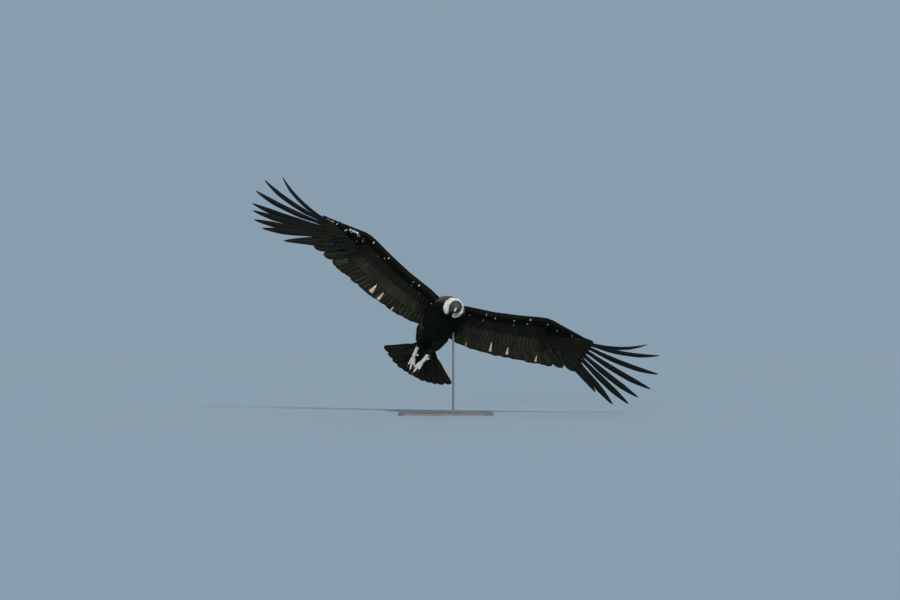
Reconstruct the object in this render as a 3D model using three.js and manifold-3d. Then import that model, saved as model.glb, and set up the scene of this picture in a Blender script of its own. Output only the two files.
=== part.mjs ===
// Andean condor, a life-size museum model of a soaring adult female on a plain display stand.
// Millimetres, +Z up. The origin is the centre of the underside of the stand's base.
// The bird is modelled in its own frame, +X forward, +Y to its left, +Z up, and then banked.
import * as THREE from 'three';
import { mergeVertices } from 'three/addons/utils/BufferGeometryUtils.js';
import Module from 'manifold-3d';

const wasm = await Module();
wasm.setup();

// Attitude of the soaring bird on its stand
const BANK = 25.2;
const NOSE_UP = 40;
const BIRD_PLACE = [-36, 0, 623];

// Clearance between touching pieces
const GAP = 0.3;

// Torso: [forward, centre left, centre up, half width, half depth]
const TORSO = [
  [216, 40, -80, 48, 46],
  [200, 38, -76, 70, 66],
  [160, 33, -70, 95, 90],
  [95, 26, -64, 113, 107],
  [10, 16, -62, 116, 108],
  [-75, 8, -60, 108, 96],
  [-150, 2, -55, 93, 76],
  [-215, 0, -49, 74, 52],
  [-256, 0, -44, 56, 32],
  [-268, 0, -42, 40, 20],
];
const TORSO_SIDES = 28;

// Wing: points along the span, [left, forward, up], for the left wing
const LEADING_EDGE = [
  [40, 150, -6],
  [128, 170, 18],
  [301, 218, 40],
  [461, 276, 62],
  [605, 338, 84],
  [710, 318, 94],
  [846, 284, 112],
  [915, 268, 122],
];
const TRAILING_EDGE = [
  [40, -150, -6],
  [128, -165, 6],
  [211, -188, 12],
  [301, -182, 22],
  [461, -154, 36],
  [605, -113, 52],
  [736, -76, 66],
  [877, -66, 88],
  [1000, -60, 104],
];
const WING_ROOT = 40;
const WRIST = 605;
const HAND_TIP = 915;
const CORE_CHORD = 0.44;
const CORE_DEPTH_ROOT = 50;
const CORE_DEPTH_WRIST = 30;
const CORE_DEPTH_TIP = 9;
const CORE_REAR_DEPTH = 0.3;

// Primaries, from the innermost to the outermost: [left, forward, up] of each tip
const PRIMARY_TIPS = [
  [812, -74, 78],
  [925, -72, 96],
  [1107, -137, 112],
  [1254, -158, 125],
  [1334, -129, 152],
  [1370, -76, 184],
  [1405, -23, 220],
  [1418, 77, 262],
  [1382, 186, 294],
  [1283, 254, 302],
];
const PRIMARY_ROOT_FIRST = 632;
const PRIMARY_ROOT_STEP = 25;
const PRIMARY_WIDTH = 74;
const FINGER_WIDTH = 40;
const SECONDARIES = 18;
const SECONDARY_WIDTH = 66;
const FEATHER_ROLL = 7;

// Tail
const TAIL_ROOT = [-232, 0, -42];
const TAIL_DROOP = 12;
const TAIL_TWIST = 5.8;
const TAIL_FAN = 51;
const TAIL_LENGTH = 350;
const TAIL_FEATHERS = 12;
const TAIL_FEATHER_WIDTH = 66;

// Neck, head and bill
const RUFF_CENTRE = [246, 51, -96];
const HEAD_CENTRE = [316, 62, -140];
const HEAD_DOWN = 40;
const HEAD_LEFT = 4;
const NECK_RADIUS = 34;
const RUFF_RADIUS = 50;
const RUFF_DEPTH = 15;
const RUFF_LOCKS = 22;
const EYE_RADIUS = 9;

// Legs
const TOE_THICK = 15;
const TOE_SPREAD = 13;
const TOE_ARCH = 0.06;
const SHANK_THICK = 19;

// Stand
const BASE_LENGTH = 600;
const BASE_WIDTH = 440;
const BASE_THICK = 12;
const BASE_CORNER = 60;
const ROD_DIAMETER = 14;
const ROD_PLACE = [46, -96];
const ROD_TOP = 545;
const COLLAR_DIAMETER = 56;
const COLLAR_HEIGHT = 16;

const finishes = {
  plumage: new THREE.MeshStandardMaterial({ color: 0x17181a, roughness: 0.8 }),
  flight: new THREE.MeshStandardMaterial({ color: 0x2a2a22, roughness: 0.6 }),
  ruff: new THREE.MeshStandardMaterial({ color: 0xe8e6e2, roughness: 0.95 }),
  skin: new THREE.MeshStandardMaterial({ color: 0x2b2728, roughness: 0.6 }),
  bill: new THREE.MeshStandardMaterial({ color: 0xcfc3a4, roughness: 0.35 }),
  foot: new THREE.MeshStandardMaterial({ color: 0xb9b2a6, roughness: 0.7 }),
  claw: new THREE.MeshStandardMaterial({ color: 0x201e1c, roughness: 0.35 }),
  eye: new THREE.MeshStandardMaterial({ color: 0x5a1f18, roughness: 0.05 }),
  stand: new THREE.MeshStandardMaterial({ color: 0x26282b, roughness: 0.45, metalness: 0.6 }),
};

const radians = THREE.MathUtils.degToRad;
const vector = (p) => new THREE.Vector3(p[0], p[1], p[2]);
const mix = THREE.MathUtils.lerp;
const smooth = THREE.MathUtils.smoothstep;

// A solid from loose triangles: shared corners merged, faces turned outwards.
function solidOf(geometry) {
  const bare = new THREE.BufferGeometry().setAttribute('position', geometry.getAttribute('position'));
  if (geometry.index) bare.setIndex(geometry.index);
  const merged = mergeVertices(bare, 1e-4);
  const vertProperties = new Float32Array(merged.getAttribute('position').array);
  const triVerts = new Uint32Array(merged.index.array);
  const make = () => new wasm.Manifold(new wasm.Mesh({ numProp: 3, vertProperties, triVerts }));
  const made = make();
  if (made.volume() > 0) return made;
  for (let i = 0; i < triVerts.length; i += 3) {
    [triVerts[i + 1], triVerts[i + 2]] = [triVerts[i + 2], triVerts[i + 1]];
  }
  return make();
}

function geometryOf(solid) {
  const mesh = solid.getMesh();
  const geometry = new THREE.BufferGeometry();
  geometry.setAttribute('position', new THREE.BufferAttribute(new Float32Array(mesh.vertProperties), 3));
  geometry.setIndex(new THREE.BufferAttribute(new Uint32Array(mesh.triVerts), 1));
  return geometry;
}

function largestOf(solid) {
  const pieces = solid.decompose();
  return pieces.reduce((best, piece) => (piece.volume() > best.volume() ? piece : best));
}

function union(pieces) {
  return pieces.reduce((whole, piece) => whole.add(piece));
}

// A closed skin over rings of equal count, with a fan over each end.
function loft(rings) {
  const count = rings[0].length;
  const points = rings.flat();
  const faces = [];
  for (let k = 0; k + 1 < rings.length; k += 1) {
    for (let j = 0; j < count; j += 1) {
      const a = k * count + j;
      const b = k * count + ((j + 1) % count);
      faces.push(a, b, b + count, a, b + count, a + count);
    }
  }
  for (const [ring, turned] of [[0, true], [rings.length - 1, false]]) {
    const centre = rings[ring].reduce((sum, p) => sum.clone().add(p), new THREE.Vector3());
    points.push(centre.divideScalar(count));
    for (let j = 0; j < count; j += 1) {
      const a = ring * count + j;
      const b = ring * count + ((j + 1) % count);
      faces.push(...(turned ? [b, a, points.length - 1] : [a, b, points.length - 1]));
    }
  }
  const geometry = new THREE.BufferGeometry().setFromPoints(points);
  geometry.setIndex(faces);
  return solidOf(geometry);
}

// A ring of points round a centre: across and upright are its two half axes.
function ring(centre, across, upright, sides, square = 1) {
  return Array.from({ length: sides }, (_, j) => {
    const angle = (2 * Math.PI * j) / sides;
    const round = (x) => Math.sign(x) * Math.abs(x) ** square;
    return centre.clone()
      .addScaledVector(across, round(Math.cos(angle)))
      .addScaledVector(upright, round(Math.sin(angle)));
  });
}

// A thin feather as a grid of stations by columns on two faces, split alike on both.
// Each station has a middle point, the direction to its outer edge and the one it faces.
function vane(stations) {
  const points = [];
  for (const face of [0.5, -0.5]) {
    for (const s of stations) {
      for (const [out, thick, drop] of [[s.outer, s.edge, s.camber], [0, s.shaft, 0], [-s.inner, s.edge, s.camber]]) {
        points.push(s.middle.clone()
          .addScaledVector(s.side, out)
          .addScaledVector(s.normal, face * thick - drop));
      }
    }
  }
  const columns = 3;
  const under = stations.length * columns;
  const faces = [];
  const quad = (a, b, c, d) => faces.push(a, b, c, a, c, d);
  for (let k = 0; k + 1 < stations.length; k += 1) {
    const row = k * columns;
    for (let j = 0; j + 1 < columns; j += 1) {
      const a = row + j;
      quad(a, a + columns, a + columns + 1, a + 1);
      faces.push(under + a, under + a + columns + 1, under + a + columns);
      faces.push(under + a, under + a + 1, under + a + columns + 1);
    }
    const last = row + columns - 1;
    quad(row, under + row, under + row + columns, row + columns);
    quad(last, last + columns, under + last + columns, under + last);
  }
  const end = (stations.length - 1) * columns;
  for (let j = 0; j + 1 < columns; j += 1) {
    quad(j, j + 1, under + j + 1, under + j);
    quad(end + j, under + end + j, under + end + j + 1, end + j + 1);
  }
  const geometry = new THREE.BufferGeometry().setFromPoints(points);
  geometry.setIndex(faces);
  return solidOf(geometry);
}

// Feather from root to tip: bow bends it towards its normal, sweep bends it to its outer side.
function feather({ root, tip, outward, roll = 0, bow = 0, sweep = 0, width, steps, narrow, shaft = 3, edge = 0.8, camber = 0 }) {
  const along = tip.clone().sub(root).normalize();
  const outer = outward.clone().addScaledVector(along, -outward.dot(along)).normalize();
  const face = new THREE.Vector3().crossVectors(along, outer);
  if (face.z < 0) face.negate();
  const side = outer.clone().multiplyScalar(Math.cos(radians(roll))).addScaledVector(face, Math.sin(radians(roll)));
  const normal = face.clone().multiplyScalar(Math.cos(radians(roll))).addScaledVector(outer, -Math.sin(radians(roll)));
  return vane(steps.map((u) => {
    const wide = width * narrow(u);
    return {
      middle: root.clone().lerp(tip, u)
        .addScaledVector(face, -4 * bow * u * (1 - u))
        .addScaledVector(outer, 4 * sweep * u * (1 - u)),
      side,
      normal,
      outer: wide * 0.38,
      inner: wide * 0.62,
      shaft: mix(shaft, 0.9, u),
      edge,
      camber: camber * narrow(u),
    };
  }));
}

const bluntTip = (u) => Math.min(mix(0.45, 1, smooth(u, 0, 0.35)), mix(0.3, 1, Math.sqrt(Math.max(0, (1 - u) / 0.25))));

// Height, place and slope of the wing's outline at a distance out from the middle
function outlineAt(points, left) {
  const k = Math.min(Math.max(points.findIndex((p) => p[0] > left) - 1, 0), points.length - 2);
  const index = points.at(-1)[0] <= left ? points.length - 2 : k;
  const [a, b] = [points[index], points[index + 1]];
  const u = (left - a[0]) / (b[0] - a[0]);
  return new THREE.Vector3(mix(a[1], b[1], u), left, mix(a[2], b[2], u));
}

const leadAt = (left) => outlineAt(LEADING_EDGE, left);
const trailAt = (left) => outlineAt(TRAILING_EDGE, left);
const wingPoint = (left, chord) => leadAt(left).lerp(trailAt(left), chord);

function torsoSolid(extra) {
  return loft(TORSO.map(([forward, left, up, width, depth], k) => {
    const shift = k === 0 ? extra : k === TORSO.length - 1 ? -extra : 0;
    const centre = new THREE.Vector3(forward + shift, left, up);
    const across = new THREE.Vector3(0, width + extra, 0);
    const upright = new THREE.Vector3(0, 0, depth + extra);
    return ring(centre, across, upright, TORSO_SIDES);
  }));
}

function coreDepth(left) {
  return left < WRIST
    ? mix(CORE_DEPTH_ROOT, CORE_DEPTH_WRIST, (left - WING_ROOT) / (WRIST - WING_ROOT))
    : mix(CORE_DEPTH_WRIST, CORE_DEPTH_TIP, (left - WRIST) / (HAND_TIP - WRIST));
}

// Arm and hand of the wing: rounded in front, deepest near the front, thin behind.
function wingCore(mirror) {
  const stations = [40, 90, 150, 220, 301, 380, 461, 535, 605, 655, 710, 780, 846, 895, 915];
  const half = [[0, 0], [0.06, 0.62], [0.25, 1], [0.55, 0.85], [1, CORE_REAR_DEPTH]];
  return loft(stations.map((left) => {
    const front = leadAt(left);
    const chord = left < WRIST ? CORE_CHORD : mix(CORE_CHORD, 0.2, (left - WRIST) / (HAND_TIP - WRIST));
    const rear = wingPoint(left, chord);
    const tipped = left === HAND_TIP ? 0.5 : 1;
    const place = ([u, d], up) => {
      const p = front.clone().lerp(rear, u * tipped);
      p.z += (up * d * coreDepth(left) * tipped) / 2;
      p.y *= mirror;
      return p;
    };
    return [...half.map((h) => place(h, 1)), ...half.slice(1).reverse().map((h) => place(h, -1))];
  }));
}

function wingFeathers(mirror) {
  const pieces = [];
  const place = (p) => new THREE.Vector3(p.x, p.y * mirror, p.z);
  const outward = new THREE.Vector3(0.1, mirror, 0.1);

  PRIMARY_TIPS.forEach(([left, forward, up], k) => {
    const rootLeft = PRIMARY_ROOT_FIRST + PRIMARY_ROOT_STEP * k;
    const chord = mix(0.34, 0.1, k / (PRIMARY_TIPS.length - 1));
    const root = wingPoint(rootLeft, chord);
    const tip = new THREE.Vector3(forward, left, up);
    const notch = mix(0.8, 0.3, smooth(k, 2, 9));
    const finger = FINGER_WIDTH / PRIMARY_WIDTH;
    const narrow = (u) => {
      const base = mix(0.35, 1, smooth(u, 0, 0.25));
      const cut = k < 2 ? 1 : mix(1, finger, smooth(u, notch - 0.08, notch + 0.1));
      return Math.min(base, cut) * mix(0.3, 1, Math.min(1, Math.sqrt(Math.max(0, (1 - u) / 0.2))));
    };
    pieces.push(feather({
      root: place(root),
      tip: place(tip),
      outward: new THREE.Vector3(0.7, 0.7 * mirror, 0.1),
      roll: FEATHER_ROLL,
      bow: mix(4, 26, k / 9),
      sweep: mix(2, 16, k / 9),
      width: PRIMARY_WIDTH,
      steps: [0, 0.18, notch - 0.06, notch + 0.1, 0.86, 1],
      narrow,
      shaft: 5,
      camber: 2,
    }));
  });

  for (let i = 0; i < SECONDARIES; i += 1) {
    const u = i / (SECONDARIES - 1);
    const rootLeft = mix(WRIST + 6, 120, u);
    const tipLeft = mix(716, 118, u);
    const root = wingPoint(rootLeft, 0.36);
    const tip = trailAt(tipLeft);
    pieces.push(feather({
      root: place(root),
      tip: place(tip),
      outward,
      roll: FEATHER_ROLL,
      bow: 5,
      width: SECONDARY_WIDTH,
      steps: [0, 0.3, 0.6, 0.88, 1],
      narrow: bluntTip,
      shaft: 3.2,
      camber: 1.5,
    }));
  }
  return pieces;
}

function wing(mirror, torsoClear) {
  const whole = union([wingCore(mirror), ...wingFeathers(mirror)]);
  return largestOf(whole.subtract(torsoClear));
}

function tail(torsoClear) {
  const droop = radians(TAIL_DROOP);
  const twist = radians(TAIL_TWIST);
  const back = new THREE.Vector3(-Math.cos(droop), 0, -Math.sin(droop));
  const left = new THREE.Vector3(0, Math.cos(twist), -Math.sin(twist));
  const up = new THREE.Vector3().crossVectors(left, back);
  const start = vector(TAIL_ROOT);
  const core = loft([[0, 52, 26], [60, 46, 20], [110, 34, 12], [140, 18, 5]].map(([s, w, d]) =>
    ring(start.clone().addScaledVector(back, s), left.clone().multiplyScalar(w), up.clone().multiplyScalar(d), 16)));
  const pieces = [core];
  for (let i = 0; i < TAIL_FEATHERS; i += 1) {
    const place = (2 * i) / (TAIL_FEATHERS - 1) - 1;
    const angle = radians(TAIL_FAN * place);
    const way = back.clone().multiplyScalar(Math.cos(angle)).addScaledVector(left, Math.sin(angle));
    const raised = 3.5 * (1 - Math.abs(place)) * 2;
    const root = start.clone().addScaledVector(back, 40).addScaledVector(left, 26 * place).addScaledVector(up, raised - 4);
    pieces.push(feather({
      root,
      tip: start.clone().addScaledVector(way, TAIL_LENGTH).addScaledVector(up, raised - 4),
      outward: left.clone().multiplyScalar(Math.sign(place)),
      roll: -FEATHER_ROLL * 0.6,
      bow: 0,
      width: TAIL_FEATHER_WIDTH,
      steps: [0, 0.3, 0.6, 0.9, 1],
      narrow: bluntTip,
      shaft: 3.4,
      camber: 1.5,
    }));
  }
  return largestOf(union(pieces).subtract(torsoClear));
}

// Frame of the head: forward along the bill, up over the crown
const headTurn = new THREE.Matrix4().makeRotationFromEuler(
  new THREE.Euler(0, radians(HEAD_DOWN), radians(HEAD_LEFT), 'ZYX'),
).setPosition(...HEAD_CENTRE);
const inHead = (x, y, z) => new THREE.Vector3(x, y, z).applyMatrix4(headTurn);

// Head and bill: [forward, centre up, half width, half height]
const HEAD = [
  [-52, -4, 33, 34],
  [-40, 0, 36, 38],
  [-20, 4, 37, 39],
  [0, 4, 35, 36],
  [18, 2, 30, 31],
  [34, -3, 24, 26],
  [48, -6, 19, 22],
];
const BILL_UPPER = [
  [48, 3, 18.5, 12.6],
  [60, 3, 15, 13],
  [72, 1, 12.4, 13],
  [83, -4, 9.4, 12],
  [90, -12, 6, 9],
  [94, -21, 2.4, 4.5],
];
const BILL_LOWER = [
  [48, -19, 14, 7.6],
  [60, -18.6, 11.6, 6.6],
  [70, -18.6, 8, 4.6],
  [76, -19, 3.6, 2],
];

function headLoft(rows, shift) {
  return loft(rows.map(([forward, up, width, height], k) => {
    const centre = inHead(forward + (k === 0 ? shift : 0), 0, up);
    const across = inHead(forward, width, up).sub(inHead(forward, 0, up));
    const upright = inHead(forward, 0, up + height).sub(inHead(forward, 0, up));
    return ring(centre, across, upright, 24);
  }));
}

function sphereAt(centre, radius, detail = 12) {
  const geometry = new THREE.SphereGeometry(radius, detail * 2, detail);
  geometry.translate(centre.x, centre.y, centre.z);
  return solidOf(geometry);
}

const eyeCentre = (mirror) => inHead(12, 27 * mirror, 8);

// The neck runs from inside the torso to the back of the head.
function neckLoft(extra) {
  const across = inHead(0, 1, 0).sub(inHead(0, 0, 0));
  const upright = inHead(0, 0, 1).sub(inHead(0, 0, 0));
  const [back, up, width, height] = HEAD[0];
  const stops = [
    [new THREE.Vector3(190, 38, -76), 46, 46],
    [vector(RUFF_CENTRE), NECK_RADIUS, NECK_RADIUS],
    [inHead(back - GAP, 0, up), width, height],
  ];
  return loft(stops.map(([p, w, h]) =>
    ring(p, across.clone().multiplyScalar(w + extra), upright.clone().multiplyScalar(h + extra), 24)));
}

function ruffCore() {
  const forward = inHead(1, 0, 0).sub(inHead(0, 0, 0));
  const across = inHead(0, 1, 0).sub(inHead(0, 0, 0));
  const upright = inHead(0, 0, 1).sub(inHead(0, 0, 0));
  const centre = vector(RUFF_CENTRE);
  const sections = [];
  const open = 28;
  const steps = 20;
  for (let k = 0; k <= steps; k += 1) {
    const angle = radians(mix(-90 + open, 270 - open, k / steps));
    const out = across.clone().multiplyScalar(Math.cos(angle)).addScaledVector(upright, Math.sin(angle));
    const full = k === 0 || k === steps ? 0.5 : 1;
    sections.push(ring(
      centre.clone().addScaledVector(out, RUFF_RADIUS),
      out.clone().multiplyScalar(RUFF_DEPTH * full),
      forward.clone().multiplyScalar(RUFF_DEPTH * full),
      8,
    ));
  }
  return loft(sections);
}

function limb(path, radii, sides = 12) {
  const points = path.map(vector);
  return loft(points.map((p, k) => {
    const way = points[Math.min(k + 1, points.length - 1)].clone().sub(points[Math.max(k - 1, 0)]).normalize();
    const across = new THREE.Vector3().crossVectors(way, new THREE.Vector3(0, 0, 1)).normalize();
    const upright = new THREE.Vector3().crossVectors(across, way);
    return ring(p, across.multiplyScalar(radii[k]), upright.multiplyScalar(radii[k]), sides);
  }));
}

const HEEL = { left: [-188, 42, -134], right: [-205, -49, -118] };
const TOE_BASE = { left: [-285, 22, -152], right: [-320, -48, -122] };
const TOE_END = { left: [-382, -4, -197], right: [-435, -33, -148] };
const HIND_TOE = { left: [34, 30, 4], right: [26, 26, -4] };

function shank(side, extra) {
  const [heel, base] = [vector(HEEL[side]), vector(TOE_BASE[side])];
  const way = base.clone().sub(heel).normalize();
  const path = [-14 - extra, 4, 60, 112 + extra].map((s) => heel.clone().addScaledVector(way, s).toArray());
  return limb(path, [8, 11, SHANK_THICK / 2, 11].map((r) => r + extra), 10);
}

function thigh(side, torsoClear) {
  const mirror = side === 'left' ? 1 : -1;
  return largestOf(limb(
    [[-50, 58 * mirror, -100], [-110, 56 * mirror, -112], [-165, 50 * mirror, -118], HEEL[side]],
    [44, 42, 27, 14],
  ).subtract(torsoClear).subtract(shank(side, GAP)));
}

// Toe along an arched path, and its claw, which starts a gap beyond the toe's end.
function toe(start, end, radius, clawLength) {
  const way = end.clone().sub(start).normalize();
  const arch = new THREE.Vector3(0, 0, start.distanceTo(end) * TOE_ARCH);
  const at = (u) => start.clone().lerp(end, u).addScaledVector(arch, 4 * u * (1 - u));
  const stops = [0, 0.3, 0.55, 0.8, 1];
  const bulges = [1, 0.82, 0.92, 0.72, 0.68];
  const flesh = limb(stops.map((u) => at(u).toArray()), bulges.map((b) => b * radius), 8);
  const last = at(1).sub(at(0.8)).normalize();
  const down = new THREE.Vector3(0, 0, -1).addScaledVector(last, last.z).normalize();
  const bend = (u) => at(1).addScaledVector(last, GAP + clawLength * u).addScaledVector(down, clawLength * 0.45 * u * u);
  const claw = limb([0, 0.12, 0.5, 0.85, 1].map((u) => bend(u).toArray()), [0.6, 0.6, 0.42, 0.18, 0.04].map((b) => b * radius), 8);
  return { flesh, claw, way };
}

function toes(side) {
  const base = vector(TOE_BASE[side]);
  const middle = vector(TOE_END[side]).sub(base);
  const hind = vector(HIND_TOE[side]);
  const turned = (angle, length) => middle.clone().applyAxisAngle(new THREE.Vector3(0, 0, 1), radians(angle)).multiplyScalar(length);
  return [
    toe(base, base.clone().add(turned(TOE_SPREAD, 0.72)), TOE_THICK / 2, 22),
    toe(base, base.clone().add(middle), TOE_THICK / 2 + 0.8, 26),
    toe(base, base.clone().add(turned(-TOE_SPREAD, 0.68)), TOE_THICK / 2, 22),
    toe(base, base.clone().add(hind), TOE_THICK / 2 - 1, 18),
  ];
}

function standBase() {
  const [x, y, r] = [BASE_LENGTH / 2, BASE_WIDTH / 2, BASE_CORNER];
  const outline = new THREE.Shape();
  outline.moveTo(-x + r, -y);
  outline.lineTo(x - r, -y).absarc(x - r, -y + r, r, -Math.PI / 2, 0);
  outline.lineTo(x, y - r).absarc(x - r, y - r, r, 0, Math.PI / 2);
  outline.lineTo(-x + r, y).absarc(-x + r, y - r, r, Math.PI / 2, Math.PI);
  outline.lineTo(-x, -y + r).absarc(-x + r, -y + r, r, Math.PI, 1.5 * Math.PI);
  return solidOf(new THREE.ExtrudeGeometry(outline, {
    depth: BASE_THICK, bevelEnabled: false, curveSegments: 6,
  }));
}

function standRod(extra) {
  const r = ROD_DIAMETER / 2 + extra;
  const start = BASE_THICK + GAP;
  const profile = [
    [0, start],
    [COLLAR_DIAMETER / 2, start],
    [COLLAR_DIAMETER / 2, start + 5],
    [r + 3, start + COLLAR_HEIGHT],
    [r, start + COLLAR_HEIGHT + 2],
    [r, ROD_TOP + extra],
    [0, ROD_TOP + extra],
  ].map(([x, y]) => new THREE.Vector2(x, y));
  const geometry = new THREE.LatheGeometry(profile, 20);
  geometry.rotateX(Math.PI / 2);
  geometry.translate(ROD_PLACE[0], ROD_PLACE[1], 0);
  return solidOf(geometry);
}

const model = new THREE.Group();
model.name = 'andean_condor';
const placed = new THREE.Group();
placed.position.set(...BIRD_PLACE);
placed.rotation.y = radians(BANK);
const pitched = new THREE.Group();
pitched.rotation.x = -radians(NOSE_UP);
const bird = new THREE.Group();
bird.rotation.z = -Math.PI / 2;
model.add(placed);
placed.add(pitched);
pitched.add(bird);
model.updateMatrixWorld(true);

function addPiece(group, name, solid, finish) {
  const mesh = new THREE.Mesh(geometryOf(solid), finish);
  mesh.name = name;
  group.add(mesh);
}

const torsoClear = torsoSolid(GAP);
const socketGeometry = geometryOf(standRod(GAP)).applyMatrix4(bird.matrixWorld.clone().invert());
addPiece(bird, 'torso', largestOf(torsoSolid(0).subtract(solidOf(socketGeometry))), finishes.plumage);

for (const [side, mirror] of [['left', 1], ['right', -1]]) {
  addPiece(bird, `wing_${side}`, wing(mirror, torsoClear), finishes.flight);
  addPiece(bird, `thigh_${side}`, thigh(side, torsoClear), finishes.plumage);
  const digits = toes(side);
  addPiece(bird, `foot_${side}`, largestOf(union([shank(side, 0), ...digits.map((d) => d.flesh)])), finishes.foot);
  digits.forEach((digit, k) => addPiece(bird, `claw_${side}_${k + 1}`, digit.claw, finishes.claw));
  addPiece(bird, `eye_${side}`, sphereAt(eyeCentre(mirror), EYE_RADIUS), finishes.eye);
}
addPiece(bird, 'tail', tail(torsoClear), finishes.flight);

addPiece(bird, 'neck', largestOf(neckLoft(0).subtract(torsoClear)), finishes.skin);
const ruffClear = union([neckLoft(GAP), torsoClear]);
addPiece(bird, 'ruff', largestOf(ruffCore().subtract(ruffClear)), finishes.ruff);
const eyeClear = union([1, -1].map((mirror) => sphereAt(eyeCentre(mirror), EYE_RADIUS + GAP)));
addPiece(bird, 'head', largestOf(headLoft(HEAD, 0).subtract(eyeClear)), finishes.skin);
addPiece(bird, 'bill_upper', headLoft(BILL_UPPER, GAP), finishes.bill);
addPiece(bird, 'bill_lower', headLoft(BILL_LOWER, GAP), finishes.bill);

addPiece(model, 'stand_base', standBase(), finishes.stand);
addPiece(model, 'stand_rod', standRod(0), finishes.stand);

export default model;
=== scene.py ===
# %% [markdown]
# # An Andean condor on its stand
# The real thing is a museum model of a soaring female condor: a body of skin and flesh, covered by
# thousands of feathers that lie over each other like roof tiles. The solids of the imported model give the
# outline. Here each feather is a thin closed leaf of mesh, worked out with numpy, because leaves that
# overlap catch the light as real plumage does, and a pattern on a smooth body would not.

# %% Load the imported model
import math

import bpy
import numpy as np
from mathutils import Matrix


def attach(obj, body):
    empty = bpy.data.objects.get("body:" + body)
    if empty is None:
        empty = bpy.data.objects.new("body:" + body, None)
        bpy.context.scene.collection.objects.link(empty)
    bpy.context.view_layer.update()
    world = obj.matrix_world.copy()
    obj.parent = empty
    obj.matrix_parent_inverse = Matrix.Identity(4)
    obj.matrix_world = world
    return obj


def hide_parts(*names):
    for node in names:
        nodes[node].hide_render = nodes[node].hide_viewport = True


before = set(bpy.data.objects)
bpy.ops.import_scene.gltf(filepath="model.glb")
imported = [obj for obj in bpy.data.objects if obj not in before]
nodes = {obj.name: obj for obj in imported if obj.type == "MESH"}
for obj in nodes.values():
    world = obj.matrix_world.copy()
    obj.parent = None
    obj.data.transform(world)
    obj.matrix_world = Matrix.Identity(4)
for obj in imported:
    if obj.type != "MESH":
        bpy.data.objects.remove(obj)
scene = bpy.context.scene
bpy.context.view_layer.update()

# %% [markdown]
# ## The bird's own axes
# A banked bird is awkward to model in room coordinates. So every shape below is written in the bird's
# own frame, in millimetres: forward, left, up. Three turns and a shift then carry it into the room, in
# metres.

# %% From the bird's frame to the room
BANK = math.radians(25.2)
NOSE_UP = math.radians(40)
BIRD_PLACE = np.array([-36.0, 0.0, 623.0])


def turn(axis, angle):
    """Rotation matrix about x, y or z: the two other axes mix by the angle's cosine and sine."""
    i, j = [(1, 2), (2, 0), (0, 1)]["xyz".index(axis)]
    matrix = np.eye(3)
    matrix[i, i] = matrix[j, j] = math.cos(angle)
    matrix[i, j], matrix[j, i] = -math.sin(angle), math.sin(angle)
    return matrix


BIRD_AXES = turn("y", BANK) @ turn("x", -NOSE_UP) @ turn("z", -math.pi / 2)


def to_room(points):
    """Bird millimetres to room metres: turned, shifted, then divided by a thousand."""
    return (points @ BIRD_AXES.T + BIRD_PLACE) / 1000


print("the bird faces", np.round(BIRD_AXES[:, 0], 2), "in the room")

# %% [markdown]
# ## Small tools for arrays
# A spline through a few measured rows gives a smooth outline, and a smooth step blends between two
# values. Both work on whole arrays, so no loop runs over vertices.


# %% Blends, splines and unit vectors
def mix(a, b, t):
    """Straight blend: a at t = 0, b at t = 1."""
    return a + (b - a) * t


def smooth(t, low=0.0, high=1.0):
    """Smooth step: 0 below low, 1 above high, with a level start and end between."""
    t = np.clip((t - low) / (high - low), 0, 1)
    return t * t * (3 - 2 * t)


def bell(distance, width):
    """1 at distance 0, falling off as exp(-(distance / width) squared)."""
    return np.exp(-(distance / width) ** 2)


def unit(v):
    """Each vector divided by its own length."""
    return v / np.maximum(np.linalg.norm(v, axis=-1, keepdims=True), 1e-9)


def spline(rows, t):
    """Catmull-Rom curve through the rows: a cubic whose slope at a row is half the step between its
    neighbours."""
    rows = np.asarray(rows, float)
    padded = np.concatenate([2 * rows[:1] - rows[1:2], rows, 2 * rows[-1:] - rows[-2:-1]])
    place = np.clip(t, 0, 1) * (len(rows) - 1)
    k = np.minimum(place.astype(int), len(rows) - 2)
    f = (place - k)[..., None]
    before, here, there, after = padded[k], padded[k + 1], padded[k + 2], padded[k + 3]
    bend = 2 * before - 5 * here + 4 * there - after
    return here + 0.5 * f * (there - before + f * (bend + f * (3 * (here - there) + after - before)))


# %% [markdown]
# ## From arrays to a piece
# Every piece ends up as one Blender mesh with its place in its vertices. A helper takes the arrays of
# points, faces, texture coordinates and tints, so that each step below is only about its shape.

# %% Making a mesh piece
made = {}


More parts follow.
